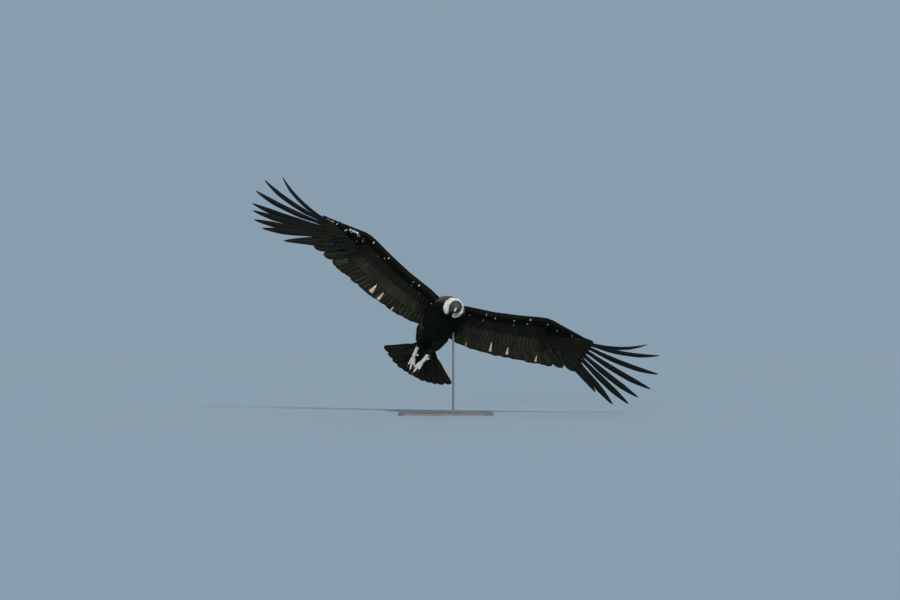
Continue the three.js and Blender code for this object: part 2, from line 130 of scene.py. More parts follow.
def make_piece(name, points, faces, material, replaced=(), maps=None, tints=None):
    """One mesh from arrays: points in bird millimetres, quads as rows of four numbers, maps and
    tints per vertex."""
    mesh = bpy.data.meshes.new(name)
    room = to_room(points.reshape(-1, 3)).astype(np.float32)
    mesh.vertices.add(len(room))
    mesh.vertices.foreach_set("co", room.ravel())
    faces = faces.astype(np.int32)
    mesh.loops.add(faces.size)
    mesh.loops.foreach_set("vertex_index", faces.ravel())
    mesh.polygons.add(len(faces))
    mesh.polygons.foreach_set("loop_start", np.arange(0, faces.size, faces.shape[1], dtype=np.int32))
    mesh.polygons.foreach_set("use_smooth", np.ones(len(faces), bool))
    mesh.update()
    for title, uv in (maps or {}).items():
        layer = mesh.uv_layers.new(name=title)
        layer.uv.foreach_set("vector", uv.reshape(-1, 2)[faces.ravel()].astype(np.float32).ravel())
    for title, values in (tints or {}).items():
        values = values.reshape(len(room), -1)
        kind, key = ("FLOAT", "value") if values.shape[1] == 1 else ("FLOAT_VECTOR", "vector")
        stored = mesh.attributes.new(title, kind, "POINT")
        stored.data.foreach_set(key, values.astype(np.float32).ravel())
    mesh.materials.append(material)
    mesh.validate()
    piece = bpy.data.objects.new(name, mesh)
    scene.collection.objects.link(piece)
    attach(piece, "root")
    if replaced:
        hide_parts(*replaced)
    made[name] = sum(len(p.vertices) - 2 for p in mesh.polygons)
    print(name, made[name], "triangles")
    return piece


def tube_faces(rows, around):
    """Quads of a closed tube: rows of points, each row a ring whose last point joins its first."""
    k, j = np.meshgrid(np.arange(rows - 1), np.arange(around), indexing="ij")
    a, b = k * around + j, k * around + (j + 1) % around
    return np.stack([a, a + around, b + around, b], -1).reshape(-1, 4)


def facing_out(points, faces):
    """Turns all quads over if the closed surface's volume, the sum of its corner products, comes
    out negative."""
    p = points.reshape(-1, 3)[faces]
    corners = np.cross(p[:, 1], p[:, 2]) + np.cross(p[:, 2], p[:, 3])
    volume = np.einsum("ij,ij->i", p[:, 0], corners).sum()
    return faces if volume > 0 else faces[:, ::-1]


def ring_grid(rows, around, start=0.0, end=1.0):
    """u along a tube and v once round it, as grids of rows by around."""
    return np.meshgrid(np.linspace(start, end, rows), np.arange(around) / around, indexing="ij")


def closed_rings(rings):
    """Points and faces of a tube from its rings, each end drawn to the middle of its last ring."""
    rows, around = rings.shape[:2]
    caps = [np.repeat(rings[k].mean(0)[None], around, 0)[None] for k in (0, -1)]
    points = np.concatenate([caps[0], rings, caps[1]])
    return points, facing_out(points, tube_faces(rows + 2, around))


# %% [markdown]
# ## Finishes from nodes
# Feather, skin and horn are all one glossy shader with different patterns in front of it. A short helper
# adds a node and links it, which keeps each finish down to the few lines that tell what it looks like.


# %% A helper for node materials
class Finish:
    """A material being built: nodes are added one by one, and their first output feeds the next."""

    def __init__(self, name, roughness, sheen=0.0, coat=0.0, specular=0.5):
        self.material = bpy.data.materials.new(name)
        self.material.use_nodes = True
        self.tree = self.material.node_tree
        self.shader = self.tree.nodes["Principled BSDF"]
        self.shader.inputs["Roughness"].default_value = roughness
        self.shader.inputs["Sheen Weight"].default_value = sheen
        self.shader.inputs["Coat Weight"].default_value = coat
        self.shader.inputs["Specular IOR Level"].default_value = specular

    def node(self, kind, output=0, inputs=(), **settings):
        """Adds a node, sets its properties, fills its inputs by name or number, and returns one
        output."""
        made_node = self.tree.nodes.new(kind)
        for key, value in settings.items():
            setattr(made_node, key, value)
        for key, value in dict(inputs).items():
            socket = made_node.inputs[key]
            if isinstance(value, bpy.types.NodeSocket):
                self.tree.links.new(value, socket)
            else:
                socket.default_value = value
        return made_node.outputs[output]

    def math(self, operation, a, b=0.0, c=0.0):
        return self.node("ShaderNodeMath", operation=operation, inputs={0: a, 1: b, 2: c})

    def times(self, a, b):
        return self.math("MULTIPLY", a, b)

    def stored(self, name, output=1):
        """A value stored on the mesh: output 1 is a vector or colour, output 2 a number."""
        return self.node("ShaderNodeAttribute", output=output, attribute_name=name)

    def place(self):
        """Object coordinates: the pattern stays with the piece."""
        return self.node("ShaderNodeTexCoord", output=3)

    def blend(self, factor, a, b, mode="MIX"):
        """Colour blend of a and b."""
        return self.node("ShaderNodeMix", output=2, data_type="RGBA", blend_type=mode,
                         inputs={0: factor, 6: a, 7: b})

    def remap(self, value, low, high, new_low=0.0, new_high=1.0):
        return self.node("ShaderNodeMapRange",
                         inputs={0: value, 1: low, 2: high, 3: new_low, 4: new_high})

    def noise(self, scale, detail=4.0, roughness=0.5, vector=None):
        return self.node("ShaderNodeTexNoise", inputs={
            "Vector": vector or self.place(), "Scale": scale, "Detail": detail, "Roughness": roughness})

    def uneven(self, scale, detail, roughness, low, high):
        """A factor between low and high that varies by noise."""
        return self.remap(self.noise(scale, detail, roughness), 0.3, 0.7, low, high)

    def shaded(self, colour, factor):
        """The colour times a number."""
        grey = self.node("ShaderNodeCombineXYZ", inputs={0: factor, 1: factor, 2: factor})
        return self.blend(1.0, colour, grey, "MULTIPLY")

    def finish(self, colour, height=None, distance=0.0005, strength=0.6, roughness=None):
        """Links colour, relief (a height times a distance in metres) and roughness to the shader."""
        self.tree.links.new(colour, self.shader.inputs["Base Color"])
        if height is not None:
            bump = self.node("ShaderNodeBump",
                             inputs={"Height": height, "Distance": distance, "Strength": strength})
            self.tree.links.new(bump, self.shader.inputs["Normal"])
        if roughness is not None:
            self.tree.links.new(roughness, self.shader.inputs["Roughness"])
        return self.material


# %% [markdown]
# ## Feather finish
# A vane is made of fine barbs that leave the shaft at a slant. The pattern runs on the vane's own map,
# across and along, so the barbs follow each feather. The tint comes from a value stored with each
# feather, because neighbouring feathers on a real bird never have quite the same shade.

# %% Feather, down and skin finishes
SHAFT_WIDTH = 0.05
# the first colour is a painted sheen for streaks of light; the worn edge and quill colours are the
# feathers' own
PAINTED_SHEEN_GREY, WORN, QUILL = (0.26, 0.27, 0.20, 1), (0.30, 0.29, 0.24, 1), (0.34, 0.30, 0.22, 1)


def feather_finish(name, roughness, specular, barbs_along, barb_slant, barb_depth, edge_light,
                   shaft_light, painted_sheen):
    """Tint per feather, darkened between slanting barbs, with painted sheen in silvery streaks, a shaft
    line and worn edges.

    The painted sheen streaks show most on olive feathers: their share grows with the tint's green, up
    to a full share.
    """
    f = Finish(name, roughness, specular=specular)
    tint = f.stored("tint")
    split = f.node("ShaderNodeSeparateXYZ", inputs={0: f.node("ShaderNodeUVMap", uv_map="vane")}).node
    across, along = split.outputs[0], split.outputs[1]
    out = f.math("ABSOLUTE", f.math("MULTIPLY_ADD", across, 2.0, -1.0))
    slant = f.math("SUBTRACT", f.times(along, barbs_along), f.times(out, barb_slant))
    barbs = f.math("SINE", f.math("ADD", slant, f.times(f.noise(38.0, 3.0), 9.0)))
    ridges = f.remap(barbs, -1.0, 1.0, 1 - barb_depth, 1 + 0.5 * barb_depth)
    edge = f.remap(out, 0.72, 1.0)
    shaft = f.remap(out, SHAFT_WIDTH, SHAFT_WIDTH * 0.4)
    # painted sheen: silvery streaks along each vane stand for light catching it, most on olive feathers
    lie = f.node("ShaderNodeCombineXYZ", inputs={
        0: f.times(across, 9.0), 1: f.times(along, 1.5), 2: f.times(f.noise(9.0, 0.0), 9.0)})
    sheen_streak = f.remap(f.noise(1.0, 4.0, 0.6, lie), 0.48, 0.64)
    green = f.node("ShaderNodeSeparateXYZ", output=1, inputs={0: tint})
    share = f.times(sheen_streak, f.math("MINIMUM", f.times(green, 15.0), 1.0))
    colour = f.shaded(tint, f.times(ridges, f.uneven(14.0, 5.0, 0.6, 0.85, 1.15)))
    marks = ((share, painted_sheen, PAINTED_SHEEN_GREY), (edge, edge_light, WORN), (shaft, shaft_light, QUILL))
    for where, strength, light in marks:
        colour = f.blend(f.times(where, strength), colour, light)
    return f.finish(colour, f.math("ADD", f.times(barbs, 0.35), shaft), distance=0.0006, strength=0.5)


FLIGHT_FINISH = feather_finish("vane_satin", roughness=0.5, specular=0.08, barbs_along=700.0,
                               barb_slant=80.0, barb_depth=0.20, edge_light=0.05, shaft_light=0.10,
                               painted_sheen=0.30)
BODY_FINISH = feather_finish("plumage_matte", roughness=0.7, specular=0.04, barbs_along=260.0,
                             barb_slant=85.0, barb_depth=0.16, edge_light=0.03, shaft_light=0.0,
                             painted_sheen=0.15)


def down_finish():
    """White down: the stored tint, varied a little by a soft noise, fuzzy through sheen."""
    f = Finish("down_white", 0.95, sheen=0.9, specular=0.2)
    f.shader.inputs["Sheen Roughness"].default_value = 0.6
    f.shader.inputs["Subsurface Weight"].default_value = 0.8
    f.shader.inputs["Subsurface Radius"].default_value = (1, 1, 1)
    f.shader.inputs["Subsurface Scale"].default_value = 0.006
    colour = f.shaded(f.stored("tint"), f.uneven(55.0, 5.0, 0.6, 0.94, 1.03))
    return f.finish(colour, f.noise(260.0, 4.0), distance=0.0006, strength=0.4)


DOWN_FINISH = down_finish()


def flesh_finish():
    """Dark flesh beneath the feathers: charcoal with a fine pebble."""
    f = Finish("flesh_dark", 0.9, specular=0.08)
    colour = f.blend(f.remap(f.noise(30.0), 0.35, 0.65), (0.006, 0.006, 0.006, 1),
                     (0.012, 0.011, 0.010, 1))
    return f.finish(colour, f.noise(420.0, 3.0), distance=0.0004)


FLESH_FINISH = flesh_finish()
print("feather finishes ready")

# %% [markdown]
# ## One feather, many times
# A feather is a leaf: a grid of stations along the shaft by a few columns across it. Its under face
# shares the rim with its upper face, so the leaf is closed and thickest at the shaft. All feathers of a
# tract are worked out at once, as arrays of feather by station by column, and land in one mesh.


# %% The plumage kit
def leaf_faces(stations, columns):
    """Quads of one closed leaf, and which grid points the under face repeats: all but the rim."""
    grid = np.arange(stations * columns).reshape(stations, columns)
    under = grid.copy()
    inner = grid[1:-1, 1:-1]
    under[1:-1, 1:-1] = stations * columns + np.arange(inner.size).reshape(inner.shape)
    quads = [np.stack([g[:-1, :-1], g[1:, :-1], g[1:, 1:], g[:-1, 1:]], -1).reshape(-1, 4)
             for g in (grid, under)]
    return np.concatenate([quads[0], quads[1][:, ::-1]]), inner.ravel()


TUFT_PATCH = 0.003


def plumage(name, middle, side, normal, outer, inner, tint, root_uv, finish,
            replaced=(), columns=5, thick=0.9, camber=0.12, panel=None, ends=None):
    """Leaves from arrays. A point sits at middle + side x (its share of the half width) + normal x
    (camber, thickness).

    middle, side and normal are feather x station x 3, outer and inner the half widths in feather x
    station, tint feather x 3, root_uv feather x 2 on the skin's unwrap. Camber drops a point by the
    square of its share. panel is a second tint, for the outer web of the upper face only. ends is a
    third one with its share for each feather: the tint of the vane's last part.
    """
    count, stations = middle.shape[:2]
    share = np.linspace(-1, 1, columns)
    width = np.where(share > 0, outer[..., None], inner[..., None])
    along = np.linspace(0, 1, stations)
    drop = -camber * width * share ** 2
    grid = middle[:, :, None] + side[:, :, None] * (width * share)[..., None]
    grid = grid + normal[:, :, None] * drop[..., None]
    depth = thick * (1 - np.abs(share)) * mix(1.0, 0.35, along)[:, None]
    faces, inside = leaf_faces(stations, columns)
    flat = grid.reshape(count, -1, 3)
    half = (normal[:, :, None] * depth[None, :, :, None] / 2).reshape(count, -1, 3)
    points = np.concatenate([flat + half, (flat - half)[:, inside]], 1)
    rim = np.setdiff1d(np.arange(stations * columns), inside)
    points[:, rim] = flat[:, rim]
    vane_map = np.stack(np.broadcast_arrays((share + 1)[None] / 2, along[:, None]), -1).reshape(-1, 2)
    vane_map = np.concatenate([vane_map, vane_map[inside]])
    total = points.shape[1]
    all_faces = faces[None] + total * np.arange(count)[:, None, None]
    handed = (np.cross(middle[:, 1] - middle[:, 0], side[:, 0]) * normal[:, 0]).sum(-1)
    all_faces = np.where(handed[:, None, None] < 0, all_faces[..., ::-1], all_faces).reshape(-1, 4)
    patches = root_uv[:, None] + TUFT_PATCH * vane_map[None]
    across_map, along_map = vane_map[:, 0], vane_map[:, 1]
    shade = np.repeat(tint[:, None], total, 1)
    if ends is not None:
        end_tint, end_share, end_from = ends
        fade = smooth(along_map, end_from, min(end_from + 0.3, 0.95))[None, :, None]
        fade = np.reshape(end_share, (-1, 1, 1)) * fade
        shade = mix(shade, np.asarray(end_tint), fade)
    if panel is not None:
        upper = np.arange(total) < stations * columns
        upper[rim] = False
        web = upper * smooth(across_map, 0.46, 0.56) * smooth(along_map, 0.96, 0.74)
        shade = mix(shade, np.asarray(panel), web[None, :, None])
    return make_piece(name, points, all_faces, finish, replaced,
                      maps={"vane": np.broadcast_to(vane_map, (count, total, 2)), "OFBake": patches},
                      tints={"tint": shade})


def quill_frame(root, tip, outward, up, along, bow=0.0, sweep=0.0, roll=0.0):
    """Stations from root to tip: 4 u (1 - u) times bow drops the middle, times sweep pushes it
    outward.

    The vane lies across the shaft: side is outward made square to the shaft, turned by roll round
    the shaft.
    """
    way = unit(tip - root)
    side = unit(outward - (outward * way).sum(-1, keepdims=True) * way)
    face = np.cross(way, side)
    face = face * np.where((face * up).sum(-1, keepdims=True) < 0, -1, 1)
    arch = (4 * along * (1 - along))[None, :, None]
    bow, sweep = np.reshape(bow, (-1, 1, 1)), np.reshape(sweep, (-1, 1, 1))
    middle = mix(root[:, None], tip[:, None], along[None, :, None]) - arch * bow * face[:, None]
    middle = middle + arch * sweep * side[:, None]
    angle = np.reshape(np.radians(roll), (-1, 1))
    turned = side * np.cos(angle) + face * np.sin(angle)
    normal = face * np.cos(angle) - side * np.sin(angle)
    return [middle] + [np.broadcast_to(way[:, None], middle.shape) for way in (turned, normal)]


def vane_width(along, root=0.25, rise=0.25, round_from=0.86, tip=0.12):
    """Width along a vane: swells from the root, then rounds off as a quarter ellipse from
    round_from to the tip."""
    end = np.clip((along - round_from) / (1 - round_from), 0, 1)
    return mix(root, 1, smooth(along, 0, rise)) * np.maximum(np.sqrt(1 - end ** 2), tip)


rng = np.random.default_rng(11)


def shades(count, base, spread=0.16):
    """A tint per feather: the base colour times a random shade."""
    return np.asarray(base)[None] * (1 + spread * rng.uniform(-1, 1, (count, 1)))


# %% [markdown]
# ## Small feathers that follow the body
# Contour feathers root in staggered rows and all point along the lie of the coat. For any surface given
# as a function of two numbers, the lie is its slope along the first number, and the outward direction is
# the cross product of both slopes. Each feather leaves the skin at a small angle and lies on the next
# row.


# %% Feathers laid on a surface
PLACE_JITTER = 0.3


def rows_over(rows, columns):
    """Staggered grid over the unit square: each row is shifted by half a step, and each place is
    moved a little."""
    u, v = np.meshgrid(np.arange(rows), np.arange(columns), indexing="ij")
    stagger = 0.5 * (np.arange(rows) % 2)[:, None]
    u = (u + 0.5 + PLACE_JITTER * rng.uniform(-1, 1, u.shape)) / rows
    v = (v + 0.25 + stagger + PLACE_JITTER * rng.uniform(-1, 1, v.shape)) / columns
    return u.ravel(), v.ravel()


def slopes(surface, u, v):
    """Point, lie and a direction square to surface(u, v), by small differences."""
    step = 1e-3
    point = surface(u, v)
    lie = unit(surface(u + step, v) - surface(u - step, v))
    across = unit(surface(u, v + step) - surface(u, v - step))
    return point, lie, unit(np.cross(across, lie))


def coat_feathers(name, point, lie, out, length, width, tint, root_uv, finish,
                  lift=0.12, sink=3.0, stations=5, curl=0.0, fan=0.12, thick=0.7, blunt=0.55, bend=0.0):
    """Leaves rooted a little under the skin: rise = lift x along - curl x along squared.

    fan turns each feather, and bend curves it sideways by the square of along, both at random.
    """
    count = len(point)
    along = np.linspace(0, 1, stations)[None, :, None]
    side = unit(np.cross(out, lie))
    way = unit(lie + fan * rng.uniform(-1, 1, (count, 1)) * side)
    side = unit(np.cross(out, way))
    length = np.reshape(length, (-1, 1, 1)) + np.zeros((count, 1, 1))
    rise = lift * along - curl * along ** 2
    root = point - sink * out
    middle = root[:, None] + length * (way[:, None] * along + out[:, None] * rise)
    middle = middle + side[:, None] * length * along ** 2 * bend * rng.uniform(-1, 1, (count, 1, 1))
    half = np.reshape(width, (-1, 1)) / 2
    half = half * vane_width(along[..., 0], root=0.35, rise=0.4, round_from=blunt)
    side, out = [np.broadcast_to(way[:, None], middle.shape) for way in (side, out)]
    return plumage(name, middle, side, out, half, half, tint, root_uv, finish,
                   columns=3, thick=thick, camber=0.18)


print("plumage kit ready")

# %% [markdown]
# ## The skin
# Under the coat the body is one skin: trunk, arms and thighs run into each other with no seam. Each limb
# is a tube of elliptic rings carried along a path. The tubes overlap, and a voxel remesh welds them into
# one closed surface, smoothed after it, which is how a modeller blends limbs without stitching them by
# hand.

# %% Trunk, arms and thighs as tubes
TRUNK = np.array([  # forward, left, up, half width, half depth
    [246, 46, -82, 24, 28],
    [230, 43, -72, 52, 58],
    [202, 38, -62, 78, 82],
    [162, 33, -48, 104, 106],
    [95, 26, -50, 117, 118],
    [10, 16, -56, 117, 112],
    [-75, 8, -58, 108, 96],
    [-150, 2, -54, 94, 76],
    [-215, 0, -48, 78, 52],
    [-256, 0, -44, 60, 32],
    [-268, 0, -42, 42, 20],
])
COAT_DEPTH, ARM_COAT, THIGH_COAT = 9.0, 4.0, 7.0  # feathers over the skin of trunk, arm and thigh


def trunk_surface(u, v, shrink=0.0):
    """Ring of the trunk: the spline's row at u gives the centre and the half axes, v runs once round."""
    row = spline(TRUNK, u)
    angle = 2 * np.pi * v
    return np.stack([row[..., 0], row[..., 1] + (row[..., 3] - shrink) * np.cos(angle),
                     row[..., 2] + (row[..., 4] - shrink) * np.sin(angle)], -1)


LEADING_EDGE = np.array([  # left, forward, up
    [40, 156, -4], [128, 174, 22], [301, 220, 40], [461, 276, 62], [570, 318, 80], [612, 332, 85],
    [655, 332, 90], [710, 320, 95], [846, 288, 112], [915, 270, 122],
])
TRAILING_EDGE = np.array([
    [40, -150, -6], [128, -165, 6], [211, -188, 12], [301, -182, 22], [461, -154, 36],
    [605, -113, 52], [736, -74, 66], [877, -56, 90], [1000, -40, 106],
])
CHORD_LENGTH = 330.0
WRIST = 612.0
HAND_TIP = 915.0
MIRROR = {"left": 1.0, "right": -1.0}
LIFT_UP = np.array([0.0, 0.0, 1.0])


def mirrored(points, side):
    """The left wing's point, carried over to the named side."""
    return points * np.array([1, MIRROR[side], 1])


def edge_at(edge, left):
    """Point of a wing edge at a distance out from the middle: straight between the edge's own points."""
    return np.stack([np.interp(left, edge[:, 0], edge[:, 1]), left,
                     np.interp(left, edge[:, 0], edge[:, 2])], -1)


def wing_point(left, chord, height=0.0):
    """Share chord of the way from the leading to the trailing edge, raised by height."""
    point = mix(edge_at(LEADING_EDGE, left), edge_at(TRAILING_EDGE, left), np.asarray(chord)[..., None])
    return point + np.asarray(height)[..., None] * LIFT_UP


def arm_depth(left):
    """Thickness of arm and hand: 50 mm at the shoulder, 30 at the wrist, 9 at the hand's end."""
    return np.interp(left, [40, WRIST, HAND_TIP], [50.0, 30.0, 9.0])


def arm_chord(left):
    """Share of the chord that is flesh: 0.44 along the arm, narrowing to 0.2 at the hand's end."""
    return np.interp(left, [WRIST, HAND_TIP], [0.44, 0.2])


def arm_profile(share):
    """Half thickness along the flesh, as a share: a round nose, fullest at a quarter, thin behind."""
    nose = np.clip(share / 0.25, 0, 1)
    return np.sqrt(nose * (2 - nose)) * mix(1, 0.3, smooth(share, 0.25, 1))


def arm_surface(side, left, v, shrink=0.0):
    """Arm section: v from 0 to 1 runs round it, over the top to the back and home underneath."""
    share = 1 - np.abs(2 * v - 1)
    face = np.where(v < 0.5, 1, -1)
    half = np.maximum(arm_depth(left) / 2 - shrink, 2) * arm_profile(share)
    chord = mix(shrink / CHORD_LENGTH, 1, share) * arm_chord(left)
    return mirrored(wing_point(left, chord, face * half), side)


THIGH_ROWS = [[-16, 50, -84, 34], [-50, 58, -100, 44], [-110, 56, -112, 42], [-165, 50, -118, 30]]
LEG_PATH = {  # forward, left, up, radius: both thighs alike, each with its own knee
    "left": np.array(THIGH_ROWS + [[-192, 41, -136, 21]]),
    "right": np.array([[x, -y, z, radius] for x, y, z, radius in THIGH_ROWS] + [[-208, -49, -118, 20]]),
}


def path_surface(path, u, v, shrink=0.0):
    """Round tube along a splined path of x, y, z, radius: rings stand square to the path."""
    row, ahead = spline(path, u), spline(path, np.minimum(u + 0.01, 1.0))
    behind = spline(path, np.maximum(u - 0.01, 0.0))
    way = unit(ahead[..., :3] - behind[..., :3])
    across = unit(np.cross(way, LIFT_UP))
    upright = np.cross(across, way)
    angle = 2 * np.pi * v[..., None]
    radius = row[..., 3:4] - np.asarray(shrink)[..., None]
    return row[..., :3] + radius * (across * np.cos(angle) + upright * np.sin(angle))


def closed_tube(surface, rows, around, start=0.0, end=1.0):
    """A surface(u, v) sampled as closed rings."""
    u, v = ring_grid(rows, around, start, end)
    points, faces = closed_rings(surface(u, v))
    return points.reshape(-1, 3), faces


def weld(name, parts, voxel, finish, replaced, soften=0):
    """One skin from overlapping tubes: a voxel remesh of all of them, then rounds of averaging with
    neighbours."""
    offsets = np.cumsum([0] + [len(points) for points, faces in parts[:-1]])
    piece = make_piece(name, np.concatenate([points for points, faces in parts]),
                       np.concatenate([faces + k for (points, faces), k in zip(parts, offsets)]),
                       finish, replaced)
    remesh = piece.modifiers.new("weld", "REMESH")
    remesh.mode, remesh.voxel_size, remesh.use_smooth_shade = "VOXEL", voxel, True
    if soften:
        average = piece.modifiers.new("soften", "SMOOTH")
        average.factor, average.iterations = 0.5, soften
    mesh = bpy.data.meshes.new_from_object(piece.evaluated_get(bpy.context.evaluated_depsgraph_get()))
    piece.modifiers.clear()
    piece.data = mesh
    print(name, "welded:", sum(len(p.vertices) - 2 for p in mesh.polygons), "triangles")
    return piece


SKIN_VOXEL = 0.005
parts = [closed_tube(lambda u, v: trunk_surface(u, v, COAT_DEPTH), 60, 48)]
for side in MIRROR:
    arm = lambda left, v: arm_surface(side, left, v, ARM_COAT)
    parts.append(closed_tube(arm, 80, 32, 45.0, HAND_TIP - 10))
    parts.append(closed_tube(lambda u, v: path_surface(LEG_PATH[side], u, v, THIGH_COAT), 30, 24))
weld("skin", parts, SKIN_VOXEL, FLESH_FINISH,
     ["torso", "thigh_left", "thigh_right"], soften=6)

# %% [markdown]
# ## Flight feathers
# Ten primaries fan out of the hand and narrow to fingers, twenty-two secondaries stand along the
# forearm. Their roots sit in the arm, their tips trace the wing's outline. Every feather lies over the
# next one out, so each is rolled a little round its shaft. From below they are dark olive-brown, and the
# fingers are nearly black.

# %% Quills of a wing: where they root and end
PRIMARY_TIPS = {  # innermost to outermost: left, forward, up
    "left": [[850, -48, 86], [938, -36, 100], [1117, -155, 112], [1256, -211, 125], [1348, -170, 152],
             [1384, -108, 184], [1431, -20, 220], [1429, 96, 262], [1376, 231, 294], [1274, 270, 302]],
    "right": [[850, -42, 86], [932, -22, 100], [1125, -114, 112], [1287, -108, 125], [1359, -97, 152],
              [1391, -57, 184], [1415, -37, 220], [1427, 43, 262], [1398, 139, 294], [1297, 233, 302]],
}
PRIMARY_ROOT_FIRST = 632.0
PRIMARY_ROOT_STEP = 25.0
FINGER_BASE = 955.0
SECONDARY_COUNT = 22
FLIGHT_OLIVE = (0.010, 0.0105, 0.005)
FINGER_BLACK = (0.005, 0.006, 0.006)
UNDER_OLIVE = (0.021, 0.021, 0.009)
PANEL_WHITE = (0.34, 0.335, 0.31)


def primary_quills(side):
    """Roots along the hand a fixed step apart, tips from the wing's own list, as forward, left, up."""
    tips = np.array(PRIMARY_TIPS[side], float)[:, [1, 0, 2]]
    k = np.arange(len(tips))
    root = wing_point(PRIMARY_ROOT_FIRST + PRIMARY_ROOT_STEP * k, mix(0.34, 0.1, k / 9))
    return root, tips


def secondary_quills(count):
    """Roots from the wrist to the elbow, tips along the trailing edge."""
    u = np.arange(count) / (count - 1)
    return wing_point(mix(WRIST, 120, u), 0.36 + 0 * u), edge_at(TRAILING_EDGE, mix(778, 118, u))


def primary_bend(k):
    """Bow and sweep of a primary: the outer ones bow most, and the third one bends back most
    towards its tip."""
    return mix(4, 40, k / 9), mix(2, 14, k / 9) + 18 * bell(k - 2, 1.6)


def wing_uv(side, points):
    """Place on the wing's part of the skin's unwrap: span along the map, chord up it, one strip for
    each wing."""
    strip = 0.52 if side == "left" else 0.77
    span, chord = np.abs(points[:, 1]) / 1500, (points[:, 0] + 250) / 650
    return np.stack([0.02 + 0.94 * span, strip + 0.2 * np.clip(chord, 0, 1)], -1)


ALONG_HAND, ALONG_ARM = (0.7, 0.7, 0.1), (0.1, 1, 0.1)  # outward, where the vanes' outer webs point


def lay_vanes(name, side, root, tip, outward, width, along, shape, tint, finish, slot, replaced=(),
              webs=(0.38, 0.62), columns=7, panel=None, ends=None, **bend):
    """Vanes between given roots and tips: the outer web is narrower than the inner one."""
    root, tip = mirrored(root, side), mirrored(tip, side)
    outward = np.broadcast_to(mirrored(np.asarray(outward), side), root.shape)
    middle, across, normal = quill_frame(root, tip, outward, LIFT_UP, along, **bend)
    wide = np.reshape(width, (-1, 1)) * shape
    return plumage(name, middle, across, normal, wide * webs[0], wide * webs[1], tint,
                   wing_uv(side, mirrored(root, side)), finish, replaced,
                   columns=columns, thick=1.4, camber=0.03, panel=panel, ends=ends)


STATIONS = 1 - (1 - np.linspace(0, 1, 26)) ** 1.5
SHORT_STATIONS = 1 - (1 - np.linspace(0, 1, 12)) ** 1.3


def drawn_out(along, over, power):
    """Swells over the first fifth and is drawn out to a blunt tip over the last part, by a power."""
    return mix(0.25, 1, smooth(along, 0, 0.2)) * mix(0.08, 1, np.clip((1 - along) / over, 0, 1) ** power)


def finger_shape(root, tip):
    """Full width at the hand, cut in to a finger beyond the notch, drawn out to a blunt tip."""
    notch = np.minimum(0.66, (FINGER_BASE - root[:, 1]) / (tip[:, 1] - root[:, 1]))[:, None]
    cut = mix(1, 0.38, smooth(STATIONS[None], notch - 0.14, notch - 0.03))
    cut = cut + 0.20 * smooth(STATIONS[None], notch, notch + 0.25)
    taper = mix(0.08, 1, np.clip((1 - STATIONS) / 0.22, 0, 1) ** 0.6)
    return np.minimum(mix(0.25, 1, smooth(STATIONS, 0, 0.2)), cut) * taper


for side in MIRROR:
    root, tip = primary_quills(side)
    k = np.arange(10)
    shape = finger_shape(root, tip)
    shape[:2] = vane_width(STATIONS, round_from=0.75)
    shape[2] = 0.85 * drawn_out(STATIONS, 0.45, 0.7)
    outer_web = mix(0.38, 0.20, smooth(k, 5, 9))[:, None]
    tint = mix(np.array(FLIGHT_OLIVE), np.array(FINGER_BLACK), smooth(k, 0, 4)[:, None])
    tint = tint * (1 + 0.1 * rng.uniform(-1, 1, (10, 1)))
    bow, sweep = primary_bend(k)
    lay_vanes(f"primaries_{side}", side, root, tip, ALONG_HAND, np.where(k < 2, 74, 78), STATIONS,
              shape, tint, FLIGHT_FINISH, "flight_feathers", [f"wing_{side}"],
              webs=(outer_web, 1 - outer_web), bow=bow, sweep=sweep, roll=9.0, columns=9)
    root, tip = secondary_quills(SECONDARY_COUNT)
    tip = mix(tip, root, rng.uniform(-0.02, 0.035, (SECONDARY_COUNT, 1)))
    lay_vanes(f"secondaries_{side}", side, root, tip, ALONG_ARM, 62, STATIONS,
              vane_width(STATIONS, round_from=0.88), shades(SECONDARY_COUNT, UNDER_OLIVE, 0.3),
              FLIGHT_FINISH, "flight_feathers", bow=5.0, roll=7.0,
              panel=PANEL_WHITE, ends=(FLIGHT_OLIVE, 1.0, 0.66))

# %% [markdown]
# ## Painted backlight in pale wedges
# This bird's secondaries part in a few places, and light shines peach-coloured through the thin webs
# there. On a model such a web is a tapered leaf of its own, laid under the trailing edge with its broad
# end outwards, and the peach of the light shining through is painted into its tint. Real gaps would need
# the feathers cut, and light from behind, which a display case doesn't have.

# %% Painted backlight in pale wedges where the secondaries part
# each: span from the middle, chord share of the broad end, length, width
PARTINGS = {"right": [(475, 0.92, 104, 40), (412, 0.95, 96, 27), (308, 0.97, 55, 13)],
            "left": [(386, 0.92, 102, 24), (491, 0.90, 84, 24), (677, 0.94, 68, 19), (228, 0.94, 44, 10)]}
# painted light: peach and pale tints for light shining through thin webs, not the webs' own colour
BACKLIGHT_PEACH = (0.80, 0.52, 0.33)
BACKLIGHT_PALE = (0.92, 0.80, 0.64)
for side in MIRROR:
    span, chord, length, width = np.array(PARTINGS[side], float).T
    tip = wing_point(span, chord, -10)
    ahead = unit(wing_point(span - 30, chord - 0.4, -10) - tip)
    wedge = mix(0.05, 1, SHORT_STATIONS) * np.sqrt(np.clip((1 - SHORT_STATIONS) / 0.08, 0, 1))
    lay_vanes(f"painted_backlight_webs_{side}", side, tip + ahead * length[:, None] - [0, 0, 6], tip, ALONG_ARM,
              width, SHORT_STATIONS, wedge, np.tile(BACKLIGHT_PALE, (len(span), 1)), BODY_FINISH,
              "flight_feathers", webs=(0.5, 0.5), columns=5, ends=(BACKLIGHT_PEACH, 1.0, 0.2))

# %% [markdown]
# ## Coverts in tiers
# Above and below, shorter feathers cover the roots of the long ones, tier upon tier: greater coverts at
# the back, median ones before them, then small lesser coverts up to the leading edge. The upper side of
# an adult's wing carries a pale panel, which shows only from above. Below, the tiers step from
# olive-brown to near black.

# %% Greater, primary and median coverts
COVERT_BLACK = (0.0045, 0.005, 0.0035)
COVERT_COUNT = 24
